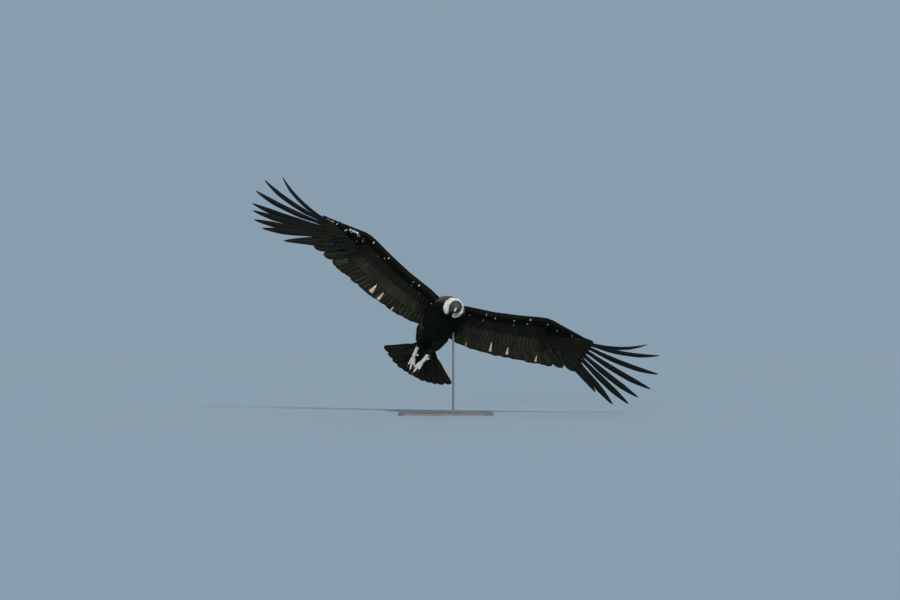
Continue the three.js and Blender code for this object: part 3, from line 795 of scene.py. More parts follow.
# name: face, root chord, tip chord, tip lift, width, tint
TIERS = {
    "greater_upper": (1, 0.24, 0.68, 8, 58, PANEL_WHITE),
    "greater_under": (-1, 0.24, 0.70, 9, 58, UNDER_OLIVE),
    "median_upper": (1, 0.13, 0.45, 12, 56, COVERT_BLACK),
    "median_under": (-1, 0.13, 0.46, 13, 56, COVERT_BLACK),
}


def lay_coverts(name, side, root, tip, outward, width, tint, **bend):
    """Coverts: short vanes with a round end."""
    lay_vanes(name, side, root, tip, outward, width, SHORT_STATIONS,
              vane_width(SHORT_STATIONS, round_from=0.7), tint, FLIGHT_FINISH, "flight_feathers",
              columns=5, **bend)


def tier_vanes(side, title, face, root_chord, tip_chord, lift, width, tint):
    """A tier along the arm: roots on the flesh at one share of the chord, tips at another, fanned
    outwards."""
    u = np.arange(COVERT_COUNT) / (COVERT_COUNT - 1)
    left, tip_left = mix(605, 128, u), mix(mix(640, 705, tip_chord), 122, u)
    half = arm_depth(left) / 2
    share = root_chord / arm_chord(left)
    root = wing_point(left, root_chord + 0 * u, face * (half * arm_profile(share) - 2))
    reach = tip_chord + 0.012 * rng.uniform(-1, 1, COVERT_COUNT)
    tip = wing_point(tip_left, reach, face * (lift + 1.5 * rng.uniform(0, 1, COVERT_COUNT)))
    dark_ends = mix(0.2, 1, smooth(u, 0, 0.15) * smooth(u, 1, 0.9))[:, None]
    tints = shades(COVERT_COUNT, tint, 0.3 if face < 0 else 0.08) * dark_ends
    lay_coverts(f"{title}_{side}", side, root, tip, ALONG_ARM, width, tints,
                bow=-3.0 * face, roll=7.0 * face)


def hand_coverts(side, face, count, lift, reach, tint):
    """Primary coverts lie on the primaries, from the hand nearly to where the fingers part."""
    root, tip = primary_quills(side)
    k = np.linspace(0, 9, count)
    low = np.minimum(k.astype(int), 8)
    root = mix(root[low], root[low + 1], (k - low)[:, None])
    tip = mix(tip[low], tip[low + 1], (k - low)[:, None])
    share = np.minimum(0.64, (FINGER_BASE - root[:, 1]) / (tip[:, 1] - root[:, 1])) * reach
    arch = 4 * share * (1 - share)
    bow, sweep = primary_bend(k)
    drop = face * mix(lift, 0.5 * lift, k / 9) - arch * bow
    ahead = arch * sweep - 4 * smooth(k, 6, 9)
    end = mix(root, tip, share[:, None]) + np.stack([ahead, 0 * k, drop], -1)
    root = root + np.stack([12 + 0 * k, 0 * k, face * (0.3 * arm_depth(root[:, 1]) - 1)], -1)
    title = f"{'upper' if face > 0 else 'under'}_{int(reach * 100)}"
    lay_coverts(f"hand_coverts_{title}_{side}", side, root, end, ALONG_HAND,
                mix(46, 22, smooth(k, 6, 9)), shades(count, tint), bow=-3.0 * face, roll=12.0 * face)


for side in MIRROR:
    for title, tier in TIERS.items():
        tier_vanes(side, title, *tier)
    for face, tint in ((1, COVERT_BLACK), (-1, FLIGHT_OLIVE)):
        hand_coverts(side, face, 12, 14, 0.94, tint)
        hand_coverts(side, face, 12, 19, 0.55, COVERT_BLACK)

# %% [markdown]
# ## The thumb
# Four short stiff feathers grow from the bird's thumb and lie along the front of the hand. They are laid
# as the coverts are, each a little further back than the one before.

# %% Thumb feathers along the front of the hand
for side in MIRROR:
    k = np.arange(4)
    root = wing_point(640 - 8 * k, 0.03 + 0.03 * k, 4 + 2 * k)
    tip = wing_point(792 - 26 * k, 0.05 + 0.03 * k, 6 + 2 * k)
    lay_coverts(f"thumb_feathers_{side}", side, root, tip, (1, 0, 0), 24, shades(4, COVERT_BLACK))

# %% [markdown]
# ## The tail
# Twelve broad feathers fan out from the stub of the tail and twist a little with the bank. Coverts above
# and below hide their roots. The fan's own three directions keep the formula short: back, left and up of
# the tail.

# %% Tail fan and tail coverts
TAIL_ROOT = np.array([-215.0, 0.0, -40.0])
TAIL_DROOP, TAIL_TWIST = math.radians(12), math.radians(4.5)
TAIL_BACK = np.array([-math.cos(TAIL_DROOP), 0, -math.sin(TAIL_DROOP)])
TAIL_LEFT = np.array([0, math.cos(TAIL_TWIST), -math.sin(TAIL_TWIST)])
TAIL_UP = np.cross(TAIL_LEFT, TAIL_BACK)
TAIL_AXES = np.array([TAIL_BACK, TAIL_LEFT, TAIL_UP])
TAIL_BLACK = (0.0055, 0.0055, 0.003)


def tail_point(back, left, up):
    """Root of the tail plus so much back, left and up along the fan's own directions."""
    return TAIL_ROOT + np.stack(np.broadcast_arrays(back, left, up), -1) @ TAIL_AXES


def tail_uv(point):
    """Place on the tail's part of the skin's unwrap: across the tail, and backwards."""
    back = np.clip((-point[:, 0] - 200) / 300, 0, 1)
    return np.stack([0.55 + 0.4 * (point[:, 1] + 150) / 300, 0.02 + 0.2 * back], -1)


def tail_vanes(name, count, root_back, root_spread, length, spread, height, width, tint, along):
    """Feathers in a fan: tips on a circle round the root, the middle pair on top of its neighbours."""
    place = np.linspace(-1, 1, count)
    rise = height + (14 * (1 - np.abs(place)) - 7)
    reach = np.sqrt(length ** 2 - (spread * place) ** 2) + 3 * rng.uniform(-1, 1, count)
    root, tip = tail_point(root_back, root_spread * place, rise), tail_point(reach, spread * place, rise)
    outward = TAIL_LEFT * np.where(place < 0, -1, 1)[:, None]
    middle, across, normal = quill_frame(root, tip, outward, TAIL_UP, along, sweep=-6.0, roll=-4.2)
    wide = width * np.tile(vane_width(along, root=0.15, rise=0.4, round_from=0.9, tip=0.3), (count, 1))
    return plumage(name, middle, across, normal, wide * 0.38, wide * 0.62, shades(count, tint),
                   tail_uv(root), FLIGHT_FINISH, ["tail"],
                   columns=7, thick=1.3, camber=0.03)


TAIL_LAYERS = {  # name: count, root back and spread, length, tip spread, height, width, tint, stations
    "tail_feathers": (12, 60, 44, 341, 246, 0, 62, TAIL_BLACK, STATIONS),
    "tail_coverts_long_upper": (12, 50, 36, 195, 118, 12, 48, COVERT_BLACK, SHORT_STATIONS),
    "tail_coverts_short_upper": (11, 44, 40, 140, 84, 18, 46, COVERT_BLACK, SHORT_STATIONS),
    "tail_coverts_long_under": (12, 50, 36, 235, 118, -12, 48, COVERT_BLACK, SHORT_STATIONS),
    "tail_coverts_short_under": (11, 44, 40, 160, 84, -18, 46, COVERT_BLACK, SHORT_STATIONS),
}
for name, layer in TAIL_LAYERS.items():
    tail_vanes(name, *layer)

# %% [markdown]
# ## The coat
# The trunk, the thighs and the front of the wings wear small feathers. On the breast they are short and
# round, on the thighs long and loose. The black coat carries painted light on its upper side: a little
# lighter over the back, and a greyish-brown painted sheen over the mantle. A few feathers along the arm
# keep a white spot, as worn coverts do.

# %% Trunk feathers
BODY_BLACK = np.array([0.0045, 0.0055, 0.0045])
# painted sheen: greyish-brown stands for sunlight on the black mantle feathers
MANTLE_SHEEN_BROWN = np.array([0.095, 0.086, 0.075])


def body_uv(u, v):
    """Place on the trunk's part of the unwrap: along the body, once round."""
    return np.stack([0.02 + 0.46 * u, 0.02 + 0.44 * (v % 1)], -1)


def away_from(centre, point, out):
    """The outward direction, turned over where it points towards the centre."""
    return out * np.sign(((point - centre) * out).sum(-1, keepdims=True))


TRUNK_MIDDLE = np.array([0, 16, -55])
u, v = rows_over(46, 46)
point, lie, out = slopes(lambda u, v: trunk_surface(u, v, COAT_DEPTH), u, v)
out = away_from(TRUNK_MIDDLE, point, out)
# painted light: the upper side is tinted lighter, and greyish-brown over the mantle, where sunlight falls
# on the black coat
sunlit_top = smooth(np.sin(2 * np.pi * v), -0.1, 0.5)[:, None]
front = smooth(u, 0.48, 0.15)[:, None]
tint = mix(BODY_BLACK, mix(BODY_BLACK * 1.2, MANTLE_SHEEN_BROWN, front), sunlit_top)
tint = tint * (1 + 0.2 * rng.uniform(-1, 1, (len(u), 1)))
coat_feathers("trunk_feathers", point, lie, out, mix(34, 56, u), mix(24, 34, u), tint, body_uv(u, v),
              BODY_FINISH, lift=0.17, curl=0.06, sink=2.0)

# %% [markdown]
# ## The thighs
# Longer, looser feathers hang over the thighs like trousers and hide the knee. They are nearly black,
# with a faint green sheen, and point down the leg.

# %% Thigh feathers
THIGH_SHEEN = np.array([0.012, 0.017, 0.014])
for side, mirror in MIRROR.items():
    u, v = rows_over(26, 22)
    u = u * 0.94
    point, lie, out = slopes(lambda u, v: path_surface(LEG_PATH[side], u, v, THIGH_COAT), u, v)
    out = away_from(spline(LEG_PATH[side], u)[:, :3], point, out)
    uv = np.stack([0.02 + 0.2 * u + (0.24 if mirror > 0 else 0), 0.48 + 0.03 * v], -1)
    coat_feathers(f"thigh_feathers_{side}", point, lie, out, mix(46, 40, u), mix(26, 14, u),
                  shades(len(u), THIGH_SHEEN, 0.25), uv, BODY_FINISH,
                  lift=0.14, curl=0.05, sink=2.0)

# %% [markdown]
# ## The front of the wings
# Sixteen rows of small coverts cover the flesh of each arm, above and below. Stiff leaves would stand
# out where the arm is strongly curved, so every station of every feather is laid on the arm itself and
# then raised a little. The white flecks, and the white crescent at the right wrist, are tints on the
# nearest feathers.

# %% Lesser coverts over the front of the wings
FLECK_WHITE = np.array([0.88, 0.87, 0.83])
# white-tipped feathers below: span from the middle and share of the chord
FLECKS = {
    "right": [(910, .02), (902, .05), (890, .02), (879, .05), (866, .03), (843, .05),
              (577, .03), (452, .03), (421, .21), (517, .19), (298, .28), (249, .24),
              (202, .05), (191, .21), (156, .39), (109, .41)],
    "left": [(251, .19), (314, .09), (326, .29), (417, .23), (447, .19), (428, .08),
             (540, .19), (608, .21), (636, .09), (790, .21), (812, .21), (834, .22)],
}
CRESCENT = np.array([(792, .16), (770, .085), (738, .045), (703, .045), (676, .09)])
STRAY_FLECKS = 0.014  # share of other feathers that are flecked too
COVERT_START = 46.0
COVERT_CHORD, MARK_CHORD = 380.0, 400.0  # chord lengths that turn shares into millimetres
COVERT_SLANT, COVERT_LIFT = 0.25, 0.13  # outward and away from the arm, per length
COVERT_STATIONS = np.linspace(0, 1, 6)


def arm_face(side, face, share, left):
    """One face of the arm: share 0 is its nose, 1 its back edge."""
    return arm_surface(side, left, np.where(face > 0, 0.5 * share, 1 - 0.5 * share), 3.0)


def bent_coverts(side, face, title, rows, columns):
    """Feathers that follow the arm: each station sits on the arm, further back and out, then raised
    along its length."""
    u, v = rows_over(rows, columns)
    first = 0.90 * u ** 1.3 - 0.03
    length = mix(28, 44, u)
    left = mix(COVERT_START, HAND_TIP, v)
    reach = length / (COVERT_CHORD * arm_chord(left))
    share = np.minimum(first[:, None] + reach[:, None] * COVERT_STATIONS, 1)
    span = np.clip(left[:, None] + COVERT_SLANT * length[:, None] * COVERT_STATIONS, 0, HAND_TIP)
    on_arm = lambda share, span: arm_face(side, face, share, span)
    line = on_arm(share, span)
    step = on_arm(np.minimum(share + 0.01, 1), span) - on_arm(share - 0.01, span)
    across = on_arm(share, span + 2) - on_arm(share, span - 2)
    out = unit(np.cross(across, step))
    inner = mirrored(wing_point(span, arm_chord(span) * (share + 0.12)), side)
    out = away_from(inner, line, out)
    middle = line + out * (0.5 + COVERT_LIFT * length[:, None] * COVERT_STATIONS)[..., None]
    slope = np.gradient(middle, axis=1)
    half = mix(15, 25, u)[:, None] / 2 * vane_width(COVERT_STATIONS, root=0.5, rise=0.4, round_from=0.5)
    marks = np.array(FLECKS[side])
    if side == "right":
        marks = np.concatenate([marks, spline(CRESCENT, np.linspace(0, 1, 16))])
    chord = (share * arm_chord(span))[:, -2:-1]
    far = np.hypot(span[:, -2:-1] - marks[:, 0], MARK_CHORD * (chord - marks[:, 1]))
    flecked = np.zeros(len(u))
    if face < 0:
        flecked[far.argmin(0)] = 1.0
        flecked = np.maximum(flecked, 0.6 * (rng.uniform(0, 1, len(u)) < STRAY_FLECKS))
    plumage(f"lesser_coverts_{title}_{side}", middle, unit(np.cross(out, slope)), out, half, half,
            shades(len(u), COVERT_BLACK, 0.2), wing_uv(side, mirrored(line[:, 0], side)),
            BODY_FINISH, columns=3, thick=0.7, camber=0.18,
            ends=(FLECK_WHITE, flecked, 0.45))


for side in MIRROR:
    for face, title in ((1, "upper"), (-1, "under")):
        bent_coverts(side, face, title, 16, 96)

# %% [markdown]
# ## The ruff
# A collar of white down stands round the bare neck, open at the throat. It is soft, so its tufts are
# thin, curled and set very close, in many directions between sideways and backwards, and none is
# straight.

# %% Ruff of down
RUFF_CENTRE = np.array([246.0, 51.0, -96.0])
HEAD_CENTRE = np.array([316.0, 62.0, -140.0])
HEAD_AXES = turn("z", math.radians(4)) @ turn("y", math.radians(40))
RUFF_RADIUS = 45.0
RUFF_THICK = 15.0
RUFF_OPENING = 26.0
RUFF_TUFTS = 32000
RUFF_WHITE = (0.97, 0.965, 0.955)


def in_head(points):
    """From the head's own axes, forward along the bill, left, and up over the crown, to the bird's."""
    return points @ HEAD_AXES.T + HEAD_CENTRE


def around_neck(angle):
    """Outward direction round the neck: 0 points left, 90 degrees over the nape."""
    return (np.stack([0 * angle, np.cos(angle), np.sin(angle)], -1)) @ HEAD_AXES.T


def ruff_angle(u):
    """From one end of the opening at the throat, up over the nape, to the other."""
    return np.radians(mix(-90 + RUFF_OPENING, 270 - RUFF_OPENING, u))


def ruff_roll(u, v):
    """The ruff's roll: rings round the neck's circle, lumpy by two sines, drawn in at both ends of
    the opening."""
    angle = ruff_angle(u)
    out = around_neck(angle)
    thin = np.sqrt(np.sin(np.pi * mix(0.05, 0.95, u)))
    lumps = 1 + 0.07 * np.sin(9 * angle + 3 * np.sin(2 * np.pi * v))
    lumps = lumps + 0.05 * np.sin(17 * angle + 4 * np.pi * v)
    turned = 2 * np.pi * v[..., None]
    thick = (RUFF_THICK * thin * lumps)[..., None]
    ring = RUFF_CENTRE + out * (RUFF_RADIUS + thick * np.cos(turned))
    return ring + HEAD_AXES[:, 0] * 1.15 * thick * np.sin(turned)


points, faces = closed_tube(ruff_roll, 90, 28)
core_maps = {"OFBake": np.tile([[0.5, 0.97]], (len(points), 1))}
make_piece("ruff_core", points, faces, DOWN_FINISH, ["ruff"], maps=core_maps,
           tints={"tint": np.tile([RUFF_WHITE], (len(points), 1))})
u, v = rng.uniform(0, 1, RUFF_TUFTS), rng.uniform(0, 1, RUFF_TUFTS)
point, lengthwise, out = slopes(ruff_roll, u, v)
centre = RUFF_CENTRE + around_neck(ruff_angle(u)) * RUFF_RADIUS
out = away_from(centre, point, out)
backward = unit(np.cross(out, lengthwise))
backward *= -np.sign(backward @ HEAD_AXES[:, 0])[:, None] * np.sign(np.cos(2 * np.pi * v) + 0.6)[:, None]
way = unit(0.8 * backward + rng.normal(0, 0.75, (RUFF_TUFTS, 3)))
way = unit(way - 0.75 * (way * out).sum(-1, keepdims=True) * out)
uv = np.stack([0.02 + 0.46 * u, 0.94 + 0.04 * v], -1)
length, width = rng.uniform(10, 17, RUFF_TUFTS), rng.uniform(0.7, 1.7, RUFF_TUFTS)
for k, part in enumerate(np.array_split(rng.permutation(RUFF_TUFTS), 5)):
    coat_feathers(f"ruff_down_{k + 1}", point[part], way[part], out[part], length[part], width[part],
                  shades(len(part), RUFF_WHITE, 0.05), uv[part], DOWN_FINISH,
                  lift=0.62, curl=0.75, sink=1.5, stations=4, fan=0.5, thick=0.4, blunt=0.3, bend=0.8)

# %% [markdown]
# ## The head
# A female condor's head is bare and dark, with no comb. The skin is wrinkled at the neck, puckered round
# the eye and the ear, and drawn tight over the bill's base. It is one tube of rings from the neck
# forward, pushed in and out by soft dents and ridges, each a bell curve round a place on the head.
# Sculpting would give the same forms, but a formula can be read and changed.

# %% Head skin: rings, then dents and ridges
HEAD_ROWS = np.array([  # forward, left, up, half width, half height, in the head's own axes
    [-126, -6, 4, 12, 12], [-110, -6, 4, 30, 30], [-82, -5, 2, 33, 33], [-62, -1, -2, 31.5, 32],
    [-52, 0, -4, 33, 34], [-40, 0, 0, 36, 38], [-20, 0, 4, 37, 39], [0, 0, 4, 35, 36], [18, 0, 2, 30, 31],
    [34, 0, -3, 24, 26], [46, 0, -6, 18.5, 21], [53, 0, -8.5, 14, 16.5], [57, 0, -10, 8, 10],
])
EYE = np.array([10.0, 31.5, 9.0])
EAR = np.array([-20.0, 35.5, -3.0])
NOSTRIL = np.array([40.0, 21.0, 4.0])
WAVES = 7


def creases(p, length, seed):
    """Sum of sine waves in random directions: sharp valleys where it crosses zero, as 1 - the
    absolute value."""
    waves = np.random.default_rng(seed)
    ways = unit(waves.normal(0, 1, (WAVES, 3))) * 2 * np.pi / length
    return 1 - np.abs(np.sin(p @ ways.T + waves.uniform(0, 6, WAVES)).sum(-1)) / 2.2


def from_eye(x, z):
    """Distance from the eye's middle, measured in an oval that is longer than high."""
    return np.hypot((x - EYE[0]) / 1.2, (z - EYE[2]) / 0.86)


def head_relief(p):
    """Height of the skin over the plain rings, in millimetres, at points p in the head's own axes."""
    x, y, z = p[..., 0], np.abs(p[..., 1]), p[..., 2]
    side_on = smooth(y, 12, 24)
    eye = from_eye(x, z)
    ear = np.hypot((x - EAR[0]) / 0.8, z - EAR[2])
    nostril = np.hypot((x - NOSTRIL[0]) / 1.9, z - NOSTRIL[2])
    mouth = -10.4 - 2.1 * smooth(x, 48, 8)
    brow = bell(z - (19 + 0.1 * (x - 10)), 4) * bell(x - 8, 17)
    height = 2.2 * side_on * brow
    folds = 2.4 * bell(eye - 7.6, 1.5) - 0.8 * bell(eye - 10.6, 1.1) + 0.5 * bell(eye - 12.8, 1.2)
    height += side_on * folds  # lids
    height -= side_on * 7.0 * (1 - smooth(eye, 4.6, 6.3))  # eye socket
    height += side_on * (0.9 * bell(ear - 6.5, 1.6) - 4.0 * (1 - smooth(ear, 1.5, 5.0)))  # ear
    height -= side_on * 3.0 * bell(nostril, 1.7) - 0.5 * side_on * bell(nostril - 3.4, 1.0)
    height -= 1.5 * bell(z - mouth, 1.0) * smooth(x, 6, 12) * side_on  # gape and the lip over it
    height += 0.9 * bell(z - mouth - 2.6, 1.6) * smooth(x, 6, 14) * side_on
    neck = smooth(x, -34, -58)
    height += neck * 1.3 * np.sin(2 * np.pi * (x + 2.2 * np.sin(z / 7) + 1.7 * np.sin(y / 5)) / 8.5)
    throat = smooth(z, -12, -26) * smooth(x, -40, -20)
    height += throat * 0.9 * np.sin(2 * np.pi * (p[..., 1] + 1.2 * np.sin(x / 6)) / 6.5)
    calm = 1 - 0.75 * bell(eye, 6) - 0.7 * smooth(x, 34, 44)  # fewer wrinkles by the eye and the bill
    height += 1.0 * calm * creases(p, 24.0, 5) + 0.5 * calm * creases(p, 9.0, 8)
    return height


def head_grid(rows, around):
    """Rings of the head skin: spline rows, then each point moved out along its ring's own direction."""
    u, v = ring_grid(rows, around)
    row, angle = spline(HEAD_ROWS, u), 2 * np.pi * v
    out = np.stack([0 * angle, np.cos(angle), np.sin(angle)], -1)
    base = row[..., :3] + out * np.stack([0 * angle, row[..., 3], row[..., 4]], -1)
    return base + out * head_relief(base)[..., None]


HEAD_DARK = np.array([0.0095, 0.009, 0.0095])
HEAD_GREY = np.array([0.036, 0.035, 0.036])
HEAD_FLUSH = np.array([0.075, 0.040, 0.034])
points, faces = closed_rings(head_grid(260, 240))
x, y, z = points[..., 0], np.abs(points[..., 1]), points[..., 2]
face_pale = smooth(x, 14, 44) * 0.8
lid_pale = 0.6 * bell(from_eye(x, z) - 7.6, 2.0) * smooth(y, 20, 26)
throat_flush = smooth(z, -14, -30) * smooth(x, -50, -20) * 0.7
tint = mix(HEAD_DARK, HEAD_GREY, np.clip(face_pale + lid_pale, 0, 1)[..., None])
tint = mix(tint, HEAD_FLUSH, throat_flush[..., None])


def skin_finish(name, roughness, pore, pore_depth, speck):
    """Bare skin: a tint worked out with the shape, broken by blotches, fine pores and pale scurf in
    the creases."""
    f = Finish(name, roughness, specular=0.4)
    colour = f.shaded(f.stored("tint"), f.uneven(90.0, 6.0, 0.65, 0.55, 1.5))
    scurf = f.remap(f.noise(520.0, 3.0, 0.7), 0.62, 0.72)
    colour = f.blend(f.times(scurf, speck), colour, (0.30, 0.28, 0.26, 1))
    pores = f.node("ShaderNodeTexVoronoi", inputs={"Vector": f.place(), "Scale": pore})
    height = f.math("ADD", pores, f.times(f.noise(pore * 0.4, 4.0), 0.8))
    return f.finish(colour, height, distance=pore_depth, strength=0.7,
                    roughness=f.remap(f.noise(60.0), 0.3, 0.7, roughness - 0.12, roughness + 0.15))


HEAD_FINISH = skin_finish("bare_skin_charcoal", roughness=0.6, pore=620.0, pore_depth=0.0004, speck=0.5)
make_piece("head_skin", in_head(points.reshape(-1, 3)), faces, HEAD_FINISH,
           ["head", "neck"], tints={"tint": tint.reshape(-1, 3)})

# %% [markdown]
# ## The bill
# Horn: dark at the base and ivory towards the hooked tip, with a narrow ridge above and a sharp cutting
# edge. The two halves are tubes again. Their rings are ellipses pinched towards the ridge, and the tint
# follows the length.

# %% Upper and lower bill
BILL_UPPER = np.array([  # forward, up, half width, half height
    [45, 3, 18.6, 12.8], [54, 3.2, 16.6, 12.8], [60, 3, 15, 13], [72, 1, 12.4, 13], [83, -4, 9.4, 12],
    [90, -12, 6, 9], [94, -21, 2.4, 4.5], [94.4, -24.4, 0.7, 1.2],
])
BILL_LOWER = np.array([
    [45, -17.5, 14.5, 8.6], [54, -17, 13.4, 8.4], [60, -16.8, 12.4, 8], [70, -16.8, 9.4, 6.6],
    [78, -18, 6.0, 4.4], [83, -20, 2.6, 2.2], [84.5, -20.8, 0.6, 0.6],
])
HORN_DARK = np.array([0.014, 0.013, 0.012])
HORN_IVORY = np.array([0.42, 0.38, 0.30])


def bill_rings(rows, pinch):
    """Rings of a bill half: an ellipse whose width shrinks by pinch at the ridge, with slow growth
    lines."""
    u, v = ring_grid(90, 72)
    row, angle = spline(rows, u), 2 * np.pi * v
    ridge = np.maximum(np.sin(angle) * np.sign(pinch), 0) ** 1.5
    width = row[..., 2] * np.cos(angle) * (1 - abs(pinch) * ridge)
    growth = 1 + 0.0025 * np.sin(row[..., 0] * 1.7 + 2 * np.sin(angle * 2))
    high = row[..., 1] + row[..., 3] * np.sin(angle) * growth
    return np.stack([row[..., 0], width * growth, high], -1)


def horn_finish(name, roughness):
    """Horn: stored tint with fine streaks along the length and a waxy coat."""
    f = Finish(name, roughness, coat=0.25)
    f.shader.inputs["Coat Roughness"].default_value = 0.25
    colour = f.shaded(f.stored("tint"), f.uneven(160.0, 5.0, 0.6, 0.75, 1.2))
    return f.finish(colour, f.noise(300.0, 5.0, 0.7), distance=0.0003, strength=0.5)


HORN_FINISH = horn_finish("horn_waxy", 0.32)
for name, rows, pinch in (("bill_upper_horn", BILL_UPPER, 0.45), ("bill_lower_horn", BILL_LOWER, -0.35)):
    points, faces = closed_rings(bill_rings(rows, pinch))
    pale = smooth(points[..., 0] - 0.35 * points[..., 2], 82, 104)[..., None]
    make_piece(name, in_head(points.reshape(-1, 3)), faces, HORN_FINISH,
               [name.replace("_horn", "")], tints={"tint": mix(HORN_DARK, HORN_IVORY, pale).reshape(-1, 3)})

# %% [markdown]
# ## The eyes
# Glass eyes: a ball with a black pupil, a red-brown iris and a dark rim, under a clear coat. The angle
# from the line of sight is stored on the ball, and a ramp turns it into the rings of the iris.

# %% Glass eyes
EYE_RADIUS = 9.0
EYE_PLACE = np.array([10.0, 25.0, 9.0])
GAZE = unit(np.array([0.22, 1.0, -0.02]))


def eye_finish():
    """Pupil, iris with radial flecks and dark rim, by the stored angle from the line of sight, in
    degrees."""
    f = Finish("glass_eye", 0.12, coat=0.5, specular=0.25)
    f.shader.inputs["Coat Roughness"].default_value = 0.02
    angle = f.math("ADD", f.stored("gaze", 2), f.times(f.noise(900.0), 3.0))
    ramp = f.node("ShaderNodeValToRGB", inputs={0: f.math("DIVIDE", angle, 90.0)})
    stops = ramp.node.color_ramp.elements
    stops[0].position, stops[0].color = 0.20, (0.002, 0.002, 0.002, 1)
    stops[1].position, stops[1].color = 0.23, (0.040, 0.009, 0.006, 1)
    stops.new(0.38).color = (0.075, 0.016, 0.009, 1)
    stops.new(0.47).color = (0.02, 0.006, 0.005, 1)
    stops.new(0.5).color = (0.01, 0.009, 0.009, 1)
    return f.finish(ramp)


EYE_FINISH = eye_finish()
for side in MIRROR:
    v, u = ring_grid(60, 72, 0.004, 0.996)
    across, along = np.sin(np.pi * v), np.cos(np.pi * v)
    ball = np.stack([across * np.cos(2 * np.pi * u), across * np.sin(2 * np.pi * u), along], -1)
    ball, faces = closed_rings(ball)
    gaze = np.degrees(np.arccos(np.clip(unit(ball) @ mirrored(GAZE, side), -1, 1)))
    make_piece(f"glass_eye_{side}",
               in_head(ball.reshape(-1, 3) * EYE_RADIUS + mirrored(EYE_PLACE, side)), faces,
               EYE_FINISH, [f"eye_{side}"], tints={"gaze": gaze})

# %% [markdown]
# ## Feet and claws
# Condor feet are pale grey, with plates across the front of shank and toes and small pebbles elsewhere.
# The feet hang back under the tail. Each toe is a tube along an arched path, its radius stepped at every
# plate. A fine voxel remesh welds toes and shank.

# %% Feet
HEEL = {"left": np.array([-188.0, 42, -134]), "right": np.array([-205.0, -49, -118])}
TOE_BASE = {"left": np.array([-285.0, 22, -152]), "right": np.array([-320.0, -48, -122])}
TOE_END = {"left": np.array([-382.0, -4, -197]), "right": np.array([-435.0, -33, -148])}
HIND_TOE = {"left": np.array([34.0, 30, 4]), "right": np.array([26.0, 26, -4])}
TOE_RADIUS = 8.2
TOE_SPREAD = math.radians(13)
FOOT_GREY = np.array([0.84, 0.80, 0.71])


def plated(path, u, v, plates, depth):
    """Tube whose radius rises along each plate and drops at its end, most on the upper side."""
    step = (u * plates) % 1
    top = 0.35 + 0.65 * smooth(np.sin(2 * np.pi * v), -0.3, 0.5)
    swell = depth * top * (step - 0.5 - 0.8 * bell(step - 1, 0.12))
    return path_surface(path, u, v, -swell)


def toe_path(start, end, radius):
    """Arched path: straight line plus 4 u (1 - u) times 6 % of its length upwards, with knuckles in
    the radius."""
    u = np.linspace(0, 1, 9)
    length = np.linalg.norm(end - start)
    places = mix(start, end, u[:, None]) + (4 * u * (1 - u) * 0.06 * length)[:, None] * LIFT_UP
    knuckles = np.interp(u, [0, 0.3, 0.55, 0.8, 1], [1, 0.82, 0.92, 0.76, 0.66]) * radius
    return np.column_stack([places, knuckles])


def toes_of(side):
    """Starts, ends, radii and claw lengths of three front toes and the hind toe."""
    base, middle = TOE_BASE[side], TOE_END[side] - TOE_BASE[side]
    inner, outer = turn("z", TOE_SPREAD) @ middle * 0.72, turn("z", -TOE_SPREAD) @ middle * 0.68
    return [(base, base + inner, TOE_RADIUS, 22), (base, base + middle, TOE_RADIUS + 0.8, 26),
            (base, base + outer, TOE_RADIUS, 22), (base, base + HIND_TOE[side], TOE_RADIUS - 1, 18)]


def scale_finish():
    """Foot skin: pebbled scales with dark seams between them, over bone-grey with faint blotches."""
    f = Finish("foot_scaled", 0.6, specular=0.3)
    seam = f.node("ShaderNodeTexVoronoi", feature="DISTANCE_TO_EDGE",
                  inputs={"Vector": f.place(), "Scale": 300.0})
    shade = f.times(f.remap(seam, 0.0, 0.10, 0.48, 1.0), f.uneven(45.0, 6.0, 0.6, 0.7, 1.12))
    return f.finish(f.shaded(f.stored("tint"), shade), f.remap(seam, 0.0, 0.2), distance=0.0008,
                    strength=0.8)


FOOT_FINISH = scale_finish()
CLAW_FINISH = horn_finish("claw_horn_dark", 0.3)
CLAW_DARK = np.array([0.030, 0.027, 0.025])
FOOT_VOXEL = 0.0011
SHANK_STEPS, SHANK_RADII = [-14, 4, 60, 112], [9, 12.5, 11, 12.5]
for side in MIRROR:
    way = unit(TOE_BASE[side] - HEEL[side])
    shank_path = np.column_stack([HEEL[side] + np.array(SHANK_STEPS)[:, None] * way, SHANK_RADII])
    parts = [closed_tube(lambda u, v: plated(shank_path, u, v, 17, 1.6), 170, 40)]
    for k, (start, end, radius, claw_length) in enumerate(toes_of(side)):
        path = toe_path(start, end, radius)
        parts.append(closed_tube(lambda u, v: plated(path, u, v, 11, 1.3), 110, 32))
        last = unit(path[-1, :3] - path[-2, :3])
        down = unit(-LIFT_UP + last * last[2])
        u = np.linspace(-0.12, 1, 9)[:, None]
        bend = path[-1, :3] + last * claw_length * u + down * claw_length * 0.45 * np.maximum(u, 0) ** 2
        thin = np.interp(u[:, 0], [-0.12, 0.12, 0.5, 0.85, 1], [0.56, 0.58, 0.42, 0.18, 0.05])
        claw_path = np.column_stack([bend, radius * thin])
        points, faces = closed_tube(lambda u, v: path_surface(claw_path, u, v), 40, 24)
        make_piece(f"talon_{side}_{k + 1}", points, faces, CLAW_FINISH,
                   [f"claw_{side}_{k + 1}"], tints={"tint": np.tile(CLAW_DARK, (len(points), 1))})
    foot = weld(f"foot_skin_{side}", parts, FOOT_VOXEL, FOOT_FINISH, [f"foot_{side}"])
    foot.data.attributes.new("tint", "FLOAT_VECTOR", "POINT").data.foreach_set(
        "vector", np.tile(FOOT_GREY, (len(foot.data.vertices), 1)).astype(np.float32).ravel())

# %% [markdown]
# ## The stand
# Base and rod come straight from the solids, so only their finish is made here: dark grey powder coat,
# with its orange-peel relief and a slight variation in gloss.

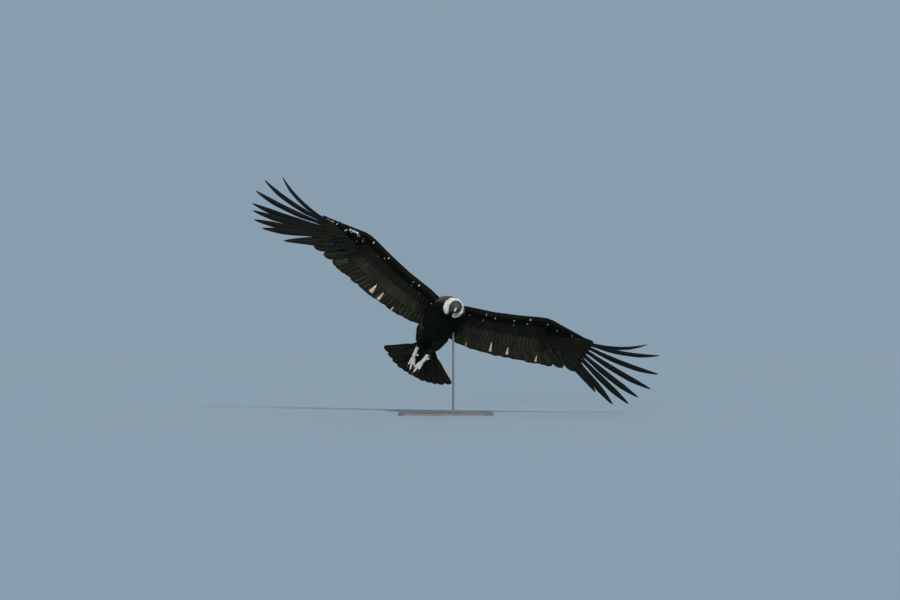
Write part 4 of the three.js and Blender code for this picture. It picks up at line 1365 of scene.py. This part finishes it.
# %% Powder coat for the stand
coat = Finish("powder_coat", 0.45)
coat_shade = coat.blend(coat.remap(coat.noise(9.0), 0.3, 0.7), (0.060, 0.063, 0.067, 1),
                        (0.085, 0.088, 0.093, 1))
coat.finish(coat_shade, coat.noise(900.0, 2.0), distance=0.0002, strength=0.5,
            roughness=coat.remap(coat.noise(40.0), 0.3, 0.7, 0.38, 0.55))
for name in ("stand_base", "stand_rod"):
    nodes[name].data.materials.clear()
    nodes[name].data.materials.append(coat.material)
print("stand coated")

# %% [markdown]
# ## The studio
# The picture looks at the bird from far in front. A long lens fourteen metres away, level with the
# bird, keeps the perspective as flat as a telephoto's. The floor is plain and pale, and its tint and
# the backdrop's are matched, so that no line shows where they meet.

# %% Camera, light and floor
CAMERA_PLACE = (0.0256, -14.0, 0.73)
VIEW_WIDTH = 5.76
SENSOR = 36.0
camera_data = bpy.data.cameras.new("camera")
camera_data.sensor_width = SENSOR
camera_data.lens = SENSOR * -CAMERA_PLACE[1] / VIEW_WIDTH
camera_data.clip_end = 200
camera = bpy.data.objects.new("camera", camera_data)
camera.location = CAMERA_PLACE
camera.rotation_euler = (math.pi / 2, 0, 0)
scene.collection.objects.link(camera)
scene.camera = camera


def sun_lamp(name, toward, strength, softness, colour):
    """A far, soft light that shines along the direction toward, with an apparent width of softness
    degrees."""
    data = bpy.data.lights.new(name, "SUN")
    data.energy, data.angle, data.color = strength, math.radians(softness), colour
    lamp = bpy.data.objects.new(name, data)
    way = np.array(toward) / np.linalg.norm(toward)
    lamp.rotation_euler = (math.acos(-way[2]), 0, math.atan2(-way[0], way[1]))
    scene.collection.objects.link(lamp)


sun_lamp("key", (-0.35, 0.75, -0.9), strength=4.6, softness=10, colour=(1.0, 0.95, 0.87))
sun_lamp("fill", (0.30, 1.0, 0.05), strength=4.3, softness=50, colour=(1.0, 0.98, 0.95))

world = bpy.data.worlds.new("studio")
scene.world = world
world.use_nodes = True
world.node_tree.nodes["Background"].inputs["Color"].default_value = (0.25, 0.34, 0.42, 1)
world.node_tree.nodes["Background"].inputs["Strength"].default_value = 1.0
scene.view_settings.view_transform = "Standard"

FLOOR_SIZE = 40.0
floor_mesh = bpy.data.meshes.new("floor")
half = FLOOR_SIZE / 2
floor_mesh.from_pydata([(x, y, 0) for x, y in ((-half, -half), (half, -half), (half, half), (-half, half))],
                       [], [(0, 1, 2, 3)])
floor = bpy.data.objects.new("floor", floor_mesh)
paint = Finish("floor_paint", 0.9)
paint.finish(paint.blend(paint.noise(3.0), (0.150, 0.207, 0.266, 1), (0.158, 0.218, 0.278, 1)))
floor_mesh.materials.append(paint.material)
scene.collection.objects.link(floor)

# %% [markdown]
# ## Closing the scene
# The script ends by printing how many triangles the made pieces have in all.

# %% Triangles in all
print("triangles in all:", sum(made.values()))
